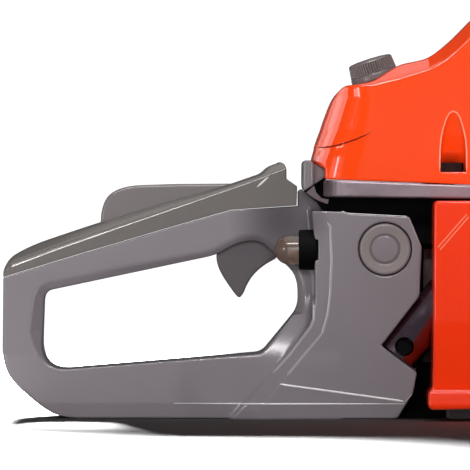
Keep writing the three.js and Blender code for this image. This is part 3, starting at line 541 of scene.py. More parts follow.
# ---------------------------------------------------------------- rear handle and tank
SEAM_X = [0, 46, 65, 93.5, 130.5, 148, 168.4]
SEAM_Z = [80.5, 94.5, 100, 108.5, 119, 120.2, 121.5]
LOOP = rounded([
    *zip(SEAM_X, SEAM_Z), (169.1, 121.6), (169.1, 130.2), (171, 131.4), (181, 123.6, 2), (184, 117),
    (192, 117), (192, 0.3), (34, 0.3, 12), (23, 6, 10), (6, 20.5, 8), (0, 31.5, 10),
])
OPENING = rounded([
    (23.5, 72.5, 5), (121.5, 93.2, 5), (128, 97, 5), (136, 100.8, 4), (143.5, 101.8, 4), (150, 100, 4),
    (159, 91, 6), (169, 81, 8), (169.2, 63, 6), (148.3, 37.2, 4), (30, 27.6, 9), (22, 36, 8),
])
PANEL = rounded([
    (182.4, 130), (182.4, 119), (188.4, 110, 7), (187.3, 72, 14), (182.6, 49, 14), (158.5, 19.6), (146, 4),
    (146, -20), (250, -20), (250, 130),
])
TANK = rounded([
    (132, 0.4), (150, 20, 16), (164, 36, 14), (178.6, 57, 14), (178.4, 100), (176.8, 118.8),
    (195.5, 118.2, 1), (198, 117.2, 1), (232.4, 115.4, 1.2), (239.5, 98.2, 1.2), (238, 69.5), (237, 28),
    (234.5, 15, 1.5), (225.4, 0.4, 1.5),
])
NOTCH = rounded([(216.4, 42), (234.4, 28.4), (262, 8), (262, 101)])
BASE_EDGE = 8.8


def rear_handle(x, y, z):
    """The handle loop and the tank behind it as one moulding, with the recesses for what is set into it."""
    side = np.abs(y)
    seam = np.interp(x, SEAM_X, SEAM_Z)
    half = np.interp(z, [0, 36, 84, 132], [33.4, 30.6, 18.4, 17])
    low = step_up(74 - z, 0, 44)
    under = 0.14 * positive(BASE_EDGE - z, 0.4)
    corner = 0.3 * positive((x - 229) * 0.8 - (z - BASE_EDGE) * 0.6, 0.4)
    panel = outline(PANEL, x, z)
    width = TANK_SIDE - 0.3 * positive(panel, 0.5)
    sunk = np.interp(x, [150, 170], [0.3, 2.2])
    half = half + positive(width - sunk - half, 2.5) * low * step_up(x, 50, 100)
    half = half - under - 3.4 * step_up(x, 136, 168) * step_up(z, 92, 104)
    edge = np.interp(seam - z, [0.5, 8], [0.4, 2.2])
    edge = np.where(z < 16, np.interp(z, [0, 16], [0.8, 2.2]), edge)
    loop = both(outline(LOOP, x, z), (side - half) * 0.9, edge)
    opening = outline(OPENING, x, z)
    chamfer = np.interp(z, [27, 34, 50, 74], [0.3, 2.0, 7.4, 5.2])
    chamfer = chamfer * np.interp(x, [24, 120, 170], [1, 0.6, 0.6])
    chamfer = np.where(z < 60, chamfer * np.interp(x, [22, 40], [1, 0.04]), chamfer)
    loop = bevelled(loop, -opening, chamfer)
    width = width - under - corner
    tank = both(outline(TANK, x, z), (side - width) * 0.9, 0.8)
    tank = less(tank, opening, 1.0)
    body = either(loop, tank, 3.5)
    body = either(body, block(x, y, z, (228, 28, 2), (252, 46.5, 30), 2), 1)
    body = less(body, both(outline(NOTCH, x, z), y - NOTCH_Y), 0.5)
    body = less(body, both(np.hypot(x - MOUNT[0], z - MOUNT[1]) - 15.3, 20 - side), 0.5)
    body = less(body, barrel(y - PRIMER[1], z - PRIMER[2], x, 12, 155, 180.4), 0.5)
    body = less(body, block(x, y, z, (118, -8.2, 78), (157, 8.2, 110)), 0.8)
    body = less(body, block(x, y, z, (104, -9.6, 100), (164, 9.6, 140)), 0.5)
    body = less(body, block(x, y, z, (150, 25.4, 85), (184.4, 38.6, 107)), 0.5)
    return less(body, barrel(x - FUEL_FILLER[0], z - FUEL_FILLER[1], y, 13, 20, 60), 0.8)


carved("handle_shell", rear_handle, "rear_handle", handle_grey, "grey_plastic")


def moulding(name, shape, line, radius, material, slot, lift=0.0, fade=10):
    """A fine round rib along a line on both sides of a shape, thinning out at its ends."""
    def thickness(share):
        return radius * min(1, 0.25 + fade * share, 0.25 + fade * (1 - share))

    for side, sign in (("right", -1), ("left", 1)):
        path = on_side(shape, line, sign) + np.array([0, sign * lift, 0])
        tube(f"{name}_{side}", path, thickness, "powerhead", material, (), slot, sides=12)


COVER = rounded([
    *[(x, z + 0.25) for x, z in zip(SEAM_X, SEAM_Z)], (168.7, 132.8), (162.6, 137.2), (162.6, 144.4, 3),
    (159.4, 147.2, 3), (151.5, 145, 3), (148, 140.4, 3), (127.5, 133.3, 8), (55.5, 112.3, 8),
    (36.5, 106, 8), (17.5, 99.5, 8), (4, 92.5, 6), (0, 85, 4),
])
FACET_TILT = math.tan(math.radians(26))


def grip_cover(x, y, z):
    """The cover on the grip: its side leans in above a crease, and a hook stands up at its front."""
    side = np.abs(y)
    crease = np.interp(x, [0, 5, 36, 144, 153, 170], [83.4, 86.2, 97.8, 135.6, 139.2, 146])
    facet = np.interp(x, [0, 30, 90, 150], [3.6, 3.4, 1.7, 0.9])
    before_hook = step_up(x * 0.69 - z * 0.72, 8.2, 9.6)
    half = np.interp(z, [80, 128, 147], [19, 17.2, 16.2])
    fall = FACET_TILT * positive(z - crease, 0.4) + (1.3 - FACET_TILT) * positive(z - crease - facet, 0.4)
    half = half - fall * (1 - before_hook) - 0.8 * step_up(z - crease, 0, 5) * before_hook
    seam = np.interp(x, SEAM_X, SEAM_Z)
    edge = np.interp(z - seam, [0, 6], [0.3, 1.8]) * np.interp(x, [150, 168], [1, 0.4])
    cover = both(outline(COVER, x, z), (side - half) * 0.75, edge)
    slot = block(x, y, z, (57, -9.1, 90), (157, 9.1, 200))
    return less(cover, slot, 0.5)


carved("grip_shell", grip_cover, "grip_cover", cover_grey, "cover_grey", step=0.62 * SKIN_STEP)

LOCKOUT = rounded([
    (55.6, 109, 3), (56, 119.5, 6), (60, 128.6, 8), (71, 133.3, 8), (98, 134.2), (150, 134.6, 4),
    (150.5, 126, 3), (112, 119), (80, 113.5),
])


def lockout(x, y, z):
    return both(outline(LOCKOUT, x, z), np.abs(y) - 8.4, 1.8)


carved("lockout_lever", lockout, "throttle_lockout", lever_grey, "grey_plastic", "throttle_lockout")

TRIGGER = rounded([
    (121.9, 94, 3), (123, 86.5, 5), (127, 79.2, 5), (133, 70.8, 2), (135.4, 68.4, 1.4), (137.7, 70.8, 2),
    (140, 76.6, 5), (144, 82.6, 6), (150.4, 88, 6), (157.3, 91.6, 2), (157, 104, 3), (155, 114, 4),
    (147, 115, 3), (138, 106, 3), (126, 101.6, 2),
])


def trigger(x, y, z):
    return both(outline(TRIGGER, x, z), np.abs(y) - 7, 1.3)


carved("trigger_blade", trigger, "throttle_trigger", shaded_trigger_grey, "grey_plastic", "throttle_trigger",
       step=SMALL_STEP)


def at_mount(sign, y):
    return (MOUNT[0], sign * y, MOUNT[1])


def mount_cap(side, sign):
    node = f"vibration_cap_{side}"
    start, toward = at_mount(sign, TANK_SIDE - 24), at_mount(sign, TANK_SIDE)
    ring = eased([(0.1, 0), (14.7, 0), (14.7, 22.6), (13.6, 23.7), (9.0, 22.9), (8.4, 22.2), (8.4, 21.2),
                  (0.1, 21.2)], 0.6)
    turned(f"cap_ring_{side}", ring, start, toward, "powerhead", cap_grey, [node], "cover_grey")
    disc = eased([(0.1, 20.8), (7.8, 20.8), (7.8, 22.6), (7.0, 23.2), (0.1, 23.3)], 0.5)
    turned(f"cap_disc_{side}", disc, start, toward, "powerhead", handle_grey, (), "grey_plastic")


mount_cap("right", -1)
mount_cap("left", 1)


def primer():
    centre = np.array(PRIMER)
    back = tuple(centre - (60, 0, 0))
    base = eased([(0.1, 0), (11.3, 0), (11.6, 5), (11.3, 10.6), (8.9, 10.6), (8.9, 7)], 1.8)
    base += [(8.9, 1.2), (0.1, 1.2)]
    turned("primer_collar", base, tuple(centre), back, "powerhead", deep_black, ["primer_base"],
           "black_plastic")
    dome = [(0.1, 0), (8.6, 0), (8.6, 2.2), (8.6, 4.4)]
    for i in range(1, 17):
        angle = math.pi / 2 * i / 16
        dome.append((max(8.6 * math.cos(angle), 0.1), 6.6 + 9.0 * math.sin(angle)))
    foot = tuple(centre - (8.9, 0, 0))
    turned("primer_dome", dome, foot, back, "primer_bulb", amber, ["primer_bulb"], "amber")


primer()

# ---------------------------------------------------------------- front handle tube
HANDLE_POINTS = [
    *[(226 + s * math.cos(TUBE_SLOPE), -36, 36 + s * math.sin(TUBE_SLOPE)) for s in (0, 22, 44, 66)],
    (282, -42, 106), (296, -58, 130), (312, -68, 160), (330, -69, 205), (343, -62, 243), (352, -40, 268),
    (355, -8, 275), (355, 50, 275), (352, 92, 266), (344, 115, 242), (333, 122, 210), (303, 123, 140),
    (275, 121, 78), (258, 112, 40), (249, 92, 20), (246, 70, 16), (245, 47.2, 16),
]


def smooth_path(points, steps):
    """A centripetal Catmull-Rom line through points, as even steps."""
    points = np.array(points, float)
    padded = np.vstack([2 * points[0] - points[1], points, 2 * points[-1] - points[-2]])
    line = []
    for p0, p1, p2, p3 in zip(padded, padded[1:], padded[2:], padded[3:]):
        t1 = np.linalg.norm(p1 - p0) ** 0.5
        t2 = t1 + np.linalg.norm(p2 - p1) ** 0.5
        t3 = t2 + np.linalg.norm(p3 - p2) ** 0.5
        for t in np.linspace(t1, t2, 24, endpoint=False):
            a1 = p0 + (p1 - p0) * t / t1
            a2 = p1 + (p2 - p1) * (t - t1) / (t2 - t1)
            a3 = p2 + (p3 - p2) * (t - t2) / (t3 - t2)
            b1 = a1 + (a2 - a1) * t / t2
            b2 = a2 + (a3 - a2) * (t - t1) / (t3 - t1)
            line.append(b1 + (b2 - b1) * (t - t1) / (t2 - t1))
    line.append(points[-1])
    line = np.array(line)
    gone = np.concatenate([[0], np.cumsum(np.linalg.norm(np.diff(line, axis=0), axis=1))])
    even = np.linspace(0, gone[-1], steps + 1)
    return np.stack([np.interp(even, gone, line[:, i]) for i in range(3)], axis=1)


def tube(name, path, radius, body, material, stands_for=(), slot=None, sides=48, wall=None):
    """A round tube along a path. radius is a number or a function of the share of the length."""
    at = radius if callable(radius) else (lambda share: radius)
    tangent = np.gradient(path, axis=0)
    tangent /= np.linalg.norm(tangent, axis=1)[:, None]
    normal = np.cross(tangent[0], (0, 1, 0))
    points, faces = [], []
    rings = len(path)
    depths = [0, wall] if wall else [0]
    for depth in depths:
        n = normal / np.linalg.norm(normal)
        for i in range(rings):
            n = n - tangent[i] * n.dot(tangent[i])
            n /= np.linalg.norm(n)
            other = np.cross(tangent[i], n)
            for k in range(sides):
                angle = 2 * math.pi * k / sides
                r = at(i / (rings - 1)) - depth
                points.append(path[i] + (n * math.cos(angle) + other * math.sin(angle)) * r)
    for number in range(len(depths)):
        base = number * rings * sides
        for i in range(rings - 1):
            for k in range(sides):
                j = (k + 1) % sides
                low, high = base + i * sides, base + (i + 1) * sides
                quad = (low + k, low + j, high + j, high + k)
                faces.append(quad if number else quad[::-1])
    last = (rings - 1) * sides
    if wall:
        inner = rings * sides
        for k in range(sides):
            j = (k + 1) % sides
            faces.append((k, j, inner + j, inner + k))
            faces.append((last + j, last + k, inner + last + k, inner + last + j))
    else:
        faces.append(tuple(range(sides)))
        faces.append(tuple(last + k for k in reversed(range(sides))))
    obj = mesh_object(name, points, faces)
    sharpen(obj, 50)
    return finish_piece(obj, body, material, stands_for, slot)


def punched(obj, start, toward, radius):
    """The piece with a round hole through it."""
    start, toward = Vector(world(start)), Vector(world(toward))
    cutter_mesh = bpy.data.meshes.new("punch")
    turn = (toward - start).to_track_quat("Z", "Y").to_matrix().to_4x4()
    shape = bmesh.new()
    spot = Matrix.Translation((start + toward) / 2) @ turn
    bmesh.ops.create_cone(shape, cap_ends=True, segments=48, radius1=radius * MM, radius2=radius * MM,
                          depth=(toward - start).length, matrix=spot)
    shape.to_mesh(cutter_mesh)
    shape.free()
    cutter = bpy.data.objects.new("punch", cutter_mesh)
    bpy.context.scene.collection.objects.link(cutter)
    hole = obj.modifiers.new("hole", "BOOLEAN")
    hole.operation = "DIFFERENCE"
    hole.solver = "EXACT"
    hole.object = cutter
    view = bpy.context.evaluated_depsgraph_get()
    result = bpy.data.meshes.new_from_object(obj.evaluated_get(view))
    obj.modifiers.remove(hole)
    obj.data = result
    bpy.data.objects.remove(cutter)
    sharpen(obj, 50)


handle_path = smooth_path(HANDLE_POINTS, 220)
front_tube = tube("front_tube", handle_path, TUBE_R, "powerhead", chrome, ["front_handle"], "chrome_tube",
                  wall=2)
punched(front_tube, (229.5, -60, 41.5), (229.5, -37, 41.5), 5.4)

sleeved = handle_path[handle_path[:, 2] > 150]


def sleeve_radius(share):
    ends = min(share, 1 - share) * 40
    return SLEEVE_R - 1.6 * max(0.0, 1 - ends) ** 2


tube("handle_sleeve", smooth_path(sleeved[::6], 260), sleeve_radius, "powerhead", matt_black,
     ["front_handle_sleeve"], "rubber", wall=2.6)

# painted highlights: the ribs below are pale so that they show as bright lines along the edges
moulding("base_rib", rear_handle, [(98, BASE_EDGE), (229, BASE_EDGE)], 0.5, highlight_white, "grey_plastic",
         fade=2)
moulding("panel_rib", rear_handle, [(158.5, 20), (229, 10.3)], 0.62, highlight_white, "grey_plastic", fade=30)
moulding("corner_rib", rear_handle, [(229, BASE_EDGE), (234, 14.6)], 0.35, highlight_grey, "grey_plastic")
PANEL_INNER = [(182.6, 118), (183, 116.6), (187.4, 110), (188, 90), (187.3, 72), (186, 60), (182.8, 49),
               (158.6, 20)]
PANEL_OUTER = [(176.6, 117), (178, 100), (178.3, 57), (176.6, 52.6), (164, 36), (152, 23)]
moulding("panel_edge", rear_handle, PANEL_INNER, 1.3, highlight_grey, "grey_plastic", lift=-1.1)
moulding("ramp_edge", rear_handle, PANEL_OUTER, 1.3, highlight_grey, "grey_plastic", lift=-1.05)
TANK_EDGE = [(182.8, 118.2), (195.5, 117.6), (198, 116.6), (232, 114.8), (239, 98)]
moulding("tank_edge", rear_handle, TANK_EDGE, 0.4, highlight_grey, "grey_plastic", lift=-0.25)
moulding("hook_rib", grip_cover, [(152.2, 138.2), (145.6, 132.3)], 0.6, highlight_white, "cover_grey", fade=3)

# ---------------------------------------------------------------- top cover
KNOB_TILT = math.radians(17.5)
KNOB = (213.8, 195.1)
TOP_SIDE = rounded([
    (183.7, 90), (183.7, 142.6), (175.9, 146.8), (178.6, 158, 5), (182.6, 170, 8), (188.6, 183.5, 7),
    (195.5, 190.4, 3), (202, 190.8, 3), (211.5, 192.6, 4), (226.5, 202.4, 5), (236, 204.2, 6),
    (243.5, 206, 6), (256, 215.5, 8), (276, 236, 12), (296, 240, 12), (318, 237, 14), (340, 221, 16),
    (354, 196, 12), (360, 166, 10), (361, 90),
])
TOP_PLAN = rounded(mirrored([
    (172.5, -22, 14), (180, -36.8, 10), (198, -44.4, 20), (226, -46, 20), (340, -45.4, 20), (362, -32, 14),
]))
VENT = rounded([
    (250, 141), (250, 156, 10), (252, 167.5, 6), (255.2, 176.2, 4), (259.6, 176.2, 4), (262.8, 167.5, 6),
    (264.7, 156, 10), (264.8, 141),
])
SHOULDER_X = [180, 195, 211.5, 227, 243.5, 251.5, 259, 264, 270, 282, 300, 330, 350, 362]
SHOULDER_Z = [184.5, 189, 191, 194.6, 199.6, 204, 210, 215, 221, 228, 230, 214, 190, 168]
SEAM_TOP_X = [176.4, 180, 184, 190, 195.5, 201, 207.5, 212]
SEAM_TOP_Z = [155.4, 155.1, 155, 155.8, 157.4, 159.2, 162, 164.6]


def hood_outer(x, y, z):
    """The hood's outside, with a step along its seam and a scoop in each side."""
    side = np.abs(y)
    lean = np.interp(z, [137, 150, 165, 184], [0, 3, 9, 15])
    body = both(outline(TOP_SIDE, x, z), outline(TOP_PLAN, x - lean, y), 2.0)
    shoulder = np.interp(x, SHOULDER_X, SHOULDER_Z)
    half = 44.9 - 0.075 * positive(z - 150, 8) - 1.5 * positive(z - shoulder, 0.8)
    body = both(body, (side - half) * 0.62, 1.0)
    crease = np.interp(x, SEAM_TOP_X, SEAM_TOP_Z)
    body = body + 0.5 * step_up(crease - z, 0, 1.4) * step_up(214 - x, 0, 16)
    scoop = outline(VENT, x, z)
    dive = np.interp(z, [141, 146, 152, 162, 176], [17, 12, 7, 3.2, 0.5])
    depth = 44.8 - 0.075 * positive(z - 150, 8) - dive
    round_floor = 0.05 * (x - 257) ** 2
    return less(body, both(scoop, depth + round_floor - side, 2.0), 0.4)


def top_cover(x, y, z):
    """The hood as a shell with openings for the vents, the knob and the choke."""
    side = np.abs(y)
    body = hood_outer(x, y, z)
    body = less(body, body + 3.2)
    body = both(body, np.interp(x, [184, 268], [136.9, 133.7]) - z, 0.5)
    body = less(body, block(x, side, z, (250.2, 20, 141.2), (263.6, 60, 146.2), 1), 0.3)
    body = less(body, block(x, y, z, (350, -16, 130), (370, 16, 168)))
    across = (x - KNOB[0]) * math.cos(KNOB_TILT) + (z - KNOB[1]) * math.sin(KNOB_TILT)
    up = -(x - KNOB[0]) * math.sin(KNOB_TILT) + (z - KNOB[1]) * math.cos(KNOB_TILT)
    body = less(body, barrel(across, y, up, 15.4, -1, 60), 0.8)
    body = either(body, barrel(across, y, up, 15.6, -3.4, -1.2), 0.3)
    body = less(body, barrel(across, y, up, 3.6, -30, 60))
    return less(body, barrel(x - CHOKE[0], z - CHOKE[1], y, 3.6, 20, 60), 0.5)


hood = carved("engine_hood", top_cover, "top_cover", orange, "orange_plastic")
# painted shade: a dark thread laid along the hood's crease
moulding("hood_crease_shade", hood_outer, list(zip(SEAM_TOP_X, SEAM_TOP_Z)), 0.42, crease_shade_red, "orange_plastic",
         lift=-0.16, fade=4)
VENT_EDGE = [
    (249.7, 141), (249.8, 153), (250.4, 160), (251.8, 166.4), (253.6, 171.6), (255.2, 174.4), (257.3, 175.6),
    (259.6, 174.6), (261.4, 171.6), (263, 166.4), (264.4, 160), (265, 153), (265, 141),
]


def hood_side(x, y, z):
    """The hood's two sides without the vents."""
    return np.abs(y) - 44.7 + 0.075 * positive(z - 150, 8)


# painted highlight: the pale rib round the vent stands in for the light its rim catches
moulding("vent_rib", hood_side, VENT_EDGE, 0.5, highlight_orange, "orange_plastic", fade=20)


def cover_knob():
    start = (KNOB[0], 0, KNOB[1])
    toward = (KNOB[0] - 40 * math.sin(KNOB_TILT), 0, KNOB[1] + 40 * math.cos(KNOB_TILT))
    teeth = 56

    def knurl(angle, r, h):
        band = 3.3 < h < 9.5 and r > 11
        return -1.1 * band * (0.5 + 0.5 * math.cos(teeth * angle)) ** 2

    def draft(h):
        return 14.0 - 0.11 * h

    rise = [(0.1, -13), (3, -13), (3, -0.9), (13.4, -0.9), (13.8, -0.4), (13.8, 2.4), (13.5, 2.9)]
    rise += [(13.1, 3.1)]
    rise += [(draft(h) - 0.1, h) for h in (3.2, 3.5, 4.4, 5.4, 6.4, 7.4, 8.4, 9.3, 9.6)]
    rise += [(12.6, 10.3), (12.1, 10.8), (11.2, 11.1), (7, 11.6), (0.1, 11.8)]
    turned("hood_knob", rise, start, toward, "cover_knob", knob_grey, ["cover_knob"], "cover_grey",
           turns=640, wave=knurl)


cover_knob()

# ---------------------------------------------------------------- air box base and rear joint
AIRBOX_PLAN = rounded(mirrored([(183.6, -30, 4), (190, -44.6, 12), (268, -44.6)]))


def airbox_base(x, y, z):
    top = np.interp(x, [184, 268], [136.5, 133.3])
    bottom = np.interp(x, [184, 268], [126.6, 125.6])
    plan = outline(AIRBOX_PLAN, x, y)
    body = both(plan, between(z, bottom, top), 1.2)
    return less(body, block(x, y, z, (196, -36, 129.5), (262, 36, 140)))


carved("airbox_band", airbox_base, "airbox_base", band_metal, "cast_alloy")

ELBOW_SIDE = rounded([
    (171.2, 133, 4), (171.4, 147.8, 3), (176.6, 147.6, 0.6), (178, 146), (185.4, 142.4), (185.4, 138.4),
    (177.4, 133.2), (172.6, 130.2, 1),
])
ELBOW_PLAN = rounded(mirrored([(170.9, -35.6, 4.4), (177.6, -36, 3), (178.6, -31, 2), (186, -28)]))


def airbox_rear(x, y, z):
    return both(outline(ELBOW_SIDE, x, z), outline(ELBOW_PLAN, x, y), 0.9)


carved("airbox_elbow", airbox_rear, "airbox_rear", elbow_grey, "grey_plastic", step=0.8)

# painted shade: a near-black sheet put where the gap round the tank lies in shade
PARTITION_AND_SHADE = rounded([
    (177.4, 133.7), (172.4, 130.8), (180.2, 123.4), (183.4, 118.6), (195.8, 118.5), (198.2, 117.5),
    (232.6, 115.7), (239.9, 98.3), (238.4, 69.6), (237.4, 32), (235, 14.6), (227, 0.4), (262, 0.4), (262, 30),
    (252, 32), (252, 118), (270, 118), (270, 126.6), (189, 127.2), (185, 130), (184.9, 138.3),
])


def partition(x, y, z):
    """The intake partition spread into a near-black wall that fills the gap round the tank, painting the
    shade there.
    """
    across = np.where(z < 100, np.abs(y - 9.2) - 26.8, np.abs(y - 3) - np.interp(x, [184, 188], [26, 33]))
    return both(outline(PARTITION_AND_SHADE, x, z), across, 0.5)


carved("intake_wall_and_shade", partition, "intake_partition", deep_black, "black_plastic", margin=30)

# ---------------------------------------------------------------- clutch cover
CLUTCH_SIDE = rounded([
    (245.4, 124.5, 3), (244.8, 34), (244.4, 19, 1), (242, 15.8, 1), (242, 8.2, 2), (244, 6.4),
    (384, 9, 14), (408, 28, 16), (412, 62, 20), (406, 92, 16), (372, 114, 24), (336, 124.5, 20),
])
STUD_X = (370, 396)
SCORE = [(247.4, 98.2), (263.6, 116.8)]


def clutch_face(z):
    """How far out the cover's face stands, by height."""
    return np.interp(z, [6, 9, 16.2, 17.2, 30, 56, 124], [85.2, 86, 85.6, 83.4, 84.2, 86, 86])


def clutch_cover(x, y, z):
    """A shell over the clutch, with two bosses for the bar studs."""
    outer = outline(CLUTCH_SIDE, x, z)
    out = (-y - clutch_face(z)) * 0.9
    body = both(both(outer, out, 1.6), y + 39, 1.0)
    body = less(body, both(both(outer + 2.6, out + 2.6), y + 44))
    body = less(body, block(x, y, z, (378, -58, 18), (430, -30, 106)))
    for x0 in STUD_X:
        body = either(body, barrel(x - x0, z - CRANK[1], y, 8, -85, -47.8))
        body = less(body, barrel(x - x0, z - CRANK[1], y, 4.3, -100, -30))
    return less(body, tube_distance(x, y, z) - TUBE_R - 1.2, 0.3)


def tube_distance(x, y, z):
    """Distance to the front handle's middle line, near the clutch cover."""
    near = handle_path[:70:3]
    best = np.full(x.shape, np.inf)
    for p, q in zip(near, near[1:]):
        e = q - p
        t = np.clip(((x - p[0]) * e[0] + (y - p[1]) * e[1] + (z - p[2]) * e[2]) / e.dot(e), 0, 1)
        gap = (x - p[0] - t * e[0]) ** 2 + (y - p[1] - t * e[1]) ** 2 + (z - p[2] - t * e[2]) ** 2
        best = np.minimum(best, gap)
    return np.sqrt(best)


carved("clutch_shell", clutch_cover, "clutch_cover", orange_cover, "orange_plastic")

# painted highlight: two pale ribs on the clutch cover stand in for highlight lines
for number, shift in ((1, 0), (2, 1.3)):
    ridge = on_side(clutch_cover, [(a + shift, b - shift) for a, b in SCORE], -1)
    tube(f"score_rib_{number}", ridge, 0.34, "powerhead", highlight_orange, (), "orange_plastic", sides=10)

# ---------------------------------------------------------------- starter side, front and small controls
STARTER_SIDE = rounded([
    (264, 24, 8), (264, 112, 12), (290, 130, 10), (350, 130, 14), (380, 104, 12), (380, 52, 8),
    (366, 14, 10), (276, 12, 8),
])


def starter_housing(x, y, z):
    """A shell with slots like spokes, and a boss for the rope."""
    outer = outline(STARTER_SIDE, x, z)
    reach = np.hypot(x - CRANK[0], z - CRANK[1])
    face = 88 - 3.2 * step_up(reach, 44, 49)
    shell = both(outer, (y - face) * 0.9, 4)
    shell = both(shell, 39.4 - y, 0.6)
    shell = less(shell, both(both(outer + 2.8, y - face + 2.8), 30 - y))
    boss = barrel(x - ROPE[0], y - ROPE[1], z, 6.5, 124, 132, 0.8)
    shell = either(shell, boss, 1)
    shell = either(shell, barrel(x - CRANK[0], z - CRANK[1], y, 6.6, 71, 87), 0.5)
    angle = np.arctan2(z - CRANK[1], x - CRANK[0])
    spoke = np.abs((angle / (2 * math.pi) * 20) % 1 - 0.5) * reach * 2 * math.pi / 20
    slot = both(both(spoke - 1.9, np.abs(reach - 29) - 11, 1.2), 80 - y)
    shell = less(shell, slot, 0.5)
    shell = less(shell, barrel(x - ROPE[0], y - ROPE[1], z, 3, 100, 140), 0.5)
    return less(shell, block(x, y, z, (368, 30, 10), (412, 60, 46.4)), 0.5)


carved("starter_shell", starter_housing, "starter_housing", orange, "orange_plastic")

PULL_GRIP = rounded([
    (-26, 147, 5), (-10, 141, 5), (-7, 133, 2), (7, 133, 2), (10, 141, 5), (26, 147, 5), (24, 158, 5),
    (0, 160.4, 12), (-24, 158, 5),
])


def starter_grip(x, y, z):
    body = both(outline(PULL_GRIP, x - ROPE[0], z), np.abs(y - ROPE[1]) - 8, 3.4)
    return less(body, barrel(x - ROPE[0], y - ROPE[1], z, 2, 120, 137), 0.4)


carved("pull_grip", starter_grip, "starter_grip", black, "black_plastic", "starter_grip")

GUARD_ARM = rounded([
    (357, 128, 6), (364, 122, 6), (374, 126, 6), (384, 170, 20), (400, 214, 20), (412, 226, 4),
    (412, 244, 6), (398, 244, 6), (384, 216, 20), (366, 170, 20),
])
GUARD_PLATE = rounded([
    (397.6, 214, 3), (405, 212, 3), (410, 236, 8), (415, 262, 8), (414, 292, 2), (408, 292, 2),
    (408, 264, 8),
])
GUARD_FRONT = rounded([
    (-70, 205, 8), (-70, 276, 20), (-44, 292, 14), (70, 292, 18), (104, 270, 18), (104, 240, 16),
    (68, 205, 10),
])


def hand_guard(x, y, z):
    """A leaning plate with two ribs, on two arms."""
    plate = both(outline(GUARD_PLATE, x, z), outline(GUARD_FRONT, y, z), 1.8)
    ribs = np.exp(-((z - 232) / 1.6) ** 2) + np.exp(-((z - 276) / 1.6) ** 2)
    plate = plate - 0.5 * ribs * (np.abs(y - 17) < 60)
    arm = outline(GUARD_ARM, x, z)
    for y0 in (-66, 64):
        plate = either(plate, both(arm, np.abs(y - y0) - 4, 1.6), 4)
    return less(plate, barrel(x - GUARD_PIVOT[0], z - GUARD_PIVOT[1], y, 3.4, -100, 100), 0.4)


carved("guard_shell", hand_guard, "hand_guard", black, "black_plastic", "hand_guard")

MUFFLER = rounded([
    (362, 118, 5), (362, 186, 6), (398, 182, 8), (408, 168, 6), (408, 126, 6), (400, 118, 5),
])


def muffler(x, y, z):
    """A pressed box with a seam round it and an outlet."""
    side = outline(MUFFLER, x, z)
    body = both(side, np.abs(y - 1) - 33, 4)
    seam = np.exp(-((y - 1) / 0.9) ** 2)
    body = body - 0.9 * seam * (side > -6)
    pressed = 1.1 * (np.exp(-((z - 136) / 2.2) ** 2) + np.exp(-((z - 160) / 2.2) ** 2))
    body = body + pressed * (np.abs(x - 384) < 14)
    return less(body, block(x, y, z, (401, -20, 140), (420, 0, 152), 1), 0.8)


carved("muffler_box", muffler, "muffler", heat_steel, "dark_steel")


def screw_cap(name, node, at, y0, y1, r, neck_r, neck_y):
    """A round cap with a scalloped rim and a finger bar across its face."""
    def shape(x, y, z):
        reach = np.hypot(x - at[0], z - at[1])
        angle = np.arctan2(z - at[1], x - at[0])
        rim = 0.9 * (0.5 + 0.5 * np.cos(angle * 16)) ** 3
        disc = both(reach - r + rim, between(y, y0, y1), 1.2)
        bowl = both(reach - r + 4, y1 - 5 - y, 0)
        bar = both(np.abs(x - at[0]) - 2.8, y - y1 + 0.6, 1)
        disc = less(disc, less(bowl, bar, 0.8), 0.8)
        return either(disc, barrel(x - at[0], z - at[1], y, neck_r, neck_y, y0 + 1))
    carved(name, shape, node, black, "black_plastic", node, step=0.8)


screw_cap("fuel_cap_skin", "fuel_cap", FUEL_FILLER, TANK_SIDE + 2.4, TANK_SIDE + 13, 18, 10.4, 38)
screw_cap("oil_cap_skin", "oil_cap", (394, 28), 48.4, 57, 14, 7.4, 40)

SWITCH_SIDE = rounded([
    (175, 87, 2), (171.5, 92, 2), (171.5, 100, 2), (175, 105, 2), (178.5, 104, 2), (181.5, 96),
    (178.5, 88, 2),
])


def stop_switch(x, y, z):
    return both(outline(SWITCH_SIDE, x, z), np.abs(y - 32) - 6, 0.8)


carved("switch_rocker", stop_switch, "stop_switch", red, "red_plastic", "stop_switch", step=SMALL_STEP)

choke_profile = eased([(0.1, 0), (2.4, 0), (2.4, 28), (8.6, 28.2), (9, 30), (9, 36.6), (8, 38), (0.1, 38)])
turned("choke_button", choke_profile, (CHOKE[0], 22, CHOKE[1]), (CHOKE[0], 60, CHOKE[1]), "choke_knob", black,
       ["choke_knob"], "black_plastic")


def pull_rope():
    """The starter rope, up into the grip's neck, and its coil on the pulley."""
    heights = np.concatenate([np.linspace(62, 128, 12), np.linspace(129, 137, 9)])
    rope_line = np.array([(*ROPE, z) for z in heights])
    rope = tube("pull_rope", rope_line, 1.6, None, rope_weave, ["starter_rope"], "cord", sides=16)
    start, end = (tuple(world((*ROPE, z))) for z in (129, 137))
    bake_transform(rope)
    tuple(start)
    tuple(end)
    coil = eased([(23.8, 72.2), (27.4, 72.2), (27.4, 75.8), (23.8, 75.8)], 0.6)
    pulley_line = [(CRANK[0], y, CRANK[1]) for y in (0, 80)]
    turned("rope_coil", coil, *pulley_line, "powerhead", rope_weave, (), "cord")


pull_rope()

# ---------------------------------------------------------------- saw chain
NOSE = (832, 62)
NOSE_R = 26.4
SHOULDER = (384, 30.4)
SPROCKET_R = 17.4
LINK_PITCH = 8.255
PLATE_MIDDLE = 3.4
RIVET_R = 1.4


def half_circle(centre, r, start, steps):
    """Points of a half circle from an angle on."""
    angles = [start + math.pi * i / steps for i in range(steps + 1)]
    return [(centre[0] + r * math.cos(a), centre[1] + r * math.sin(a)) for a in angles]


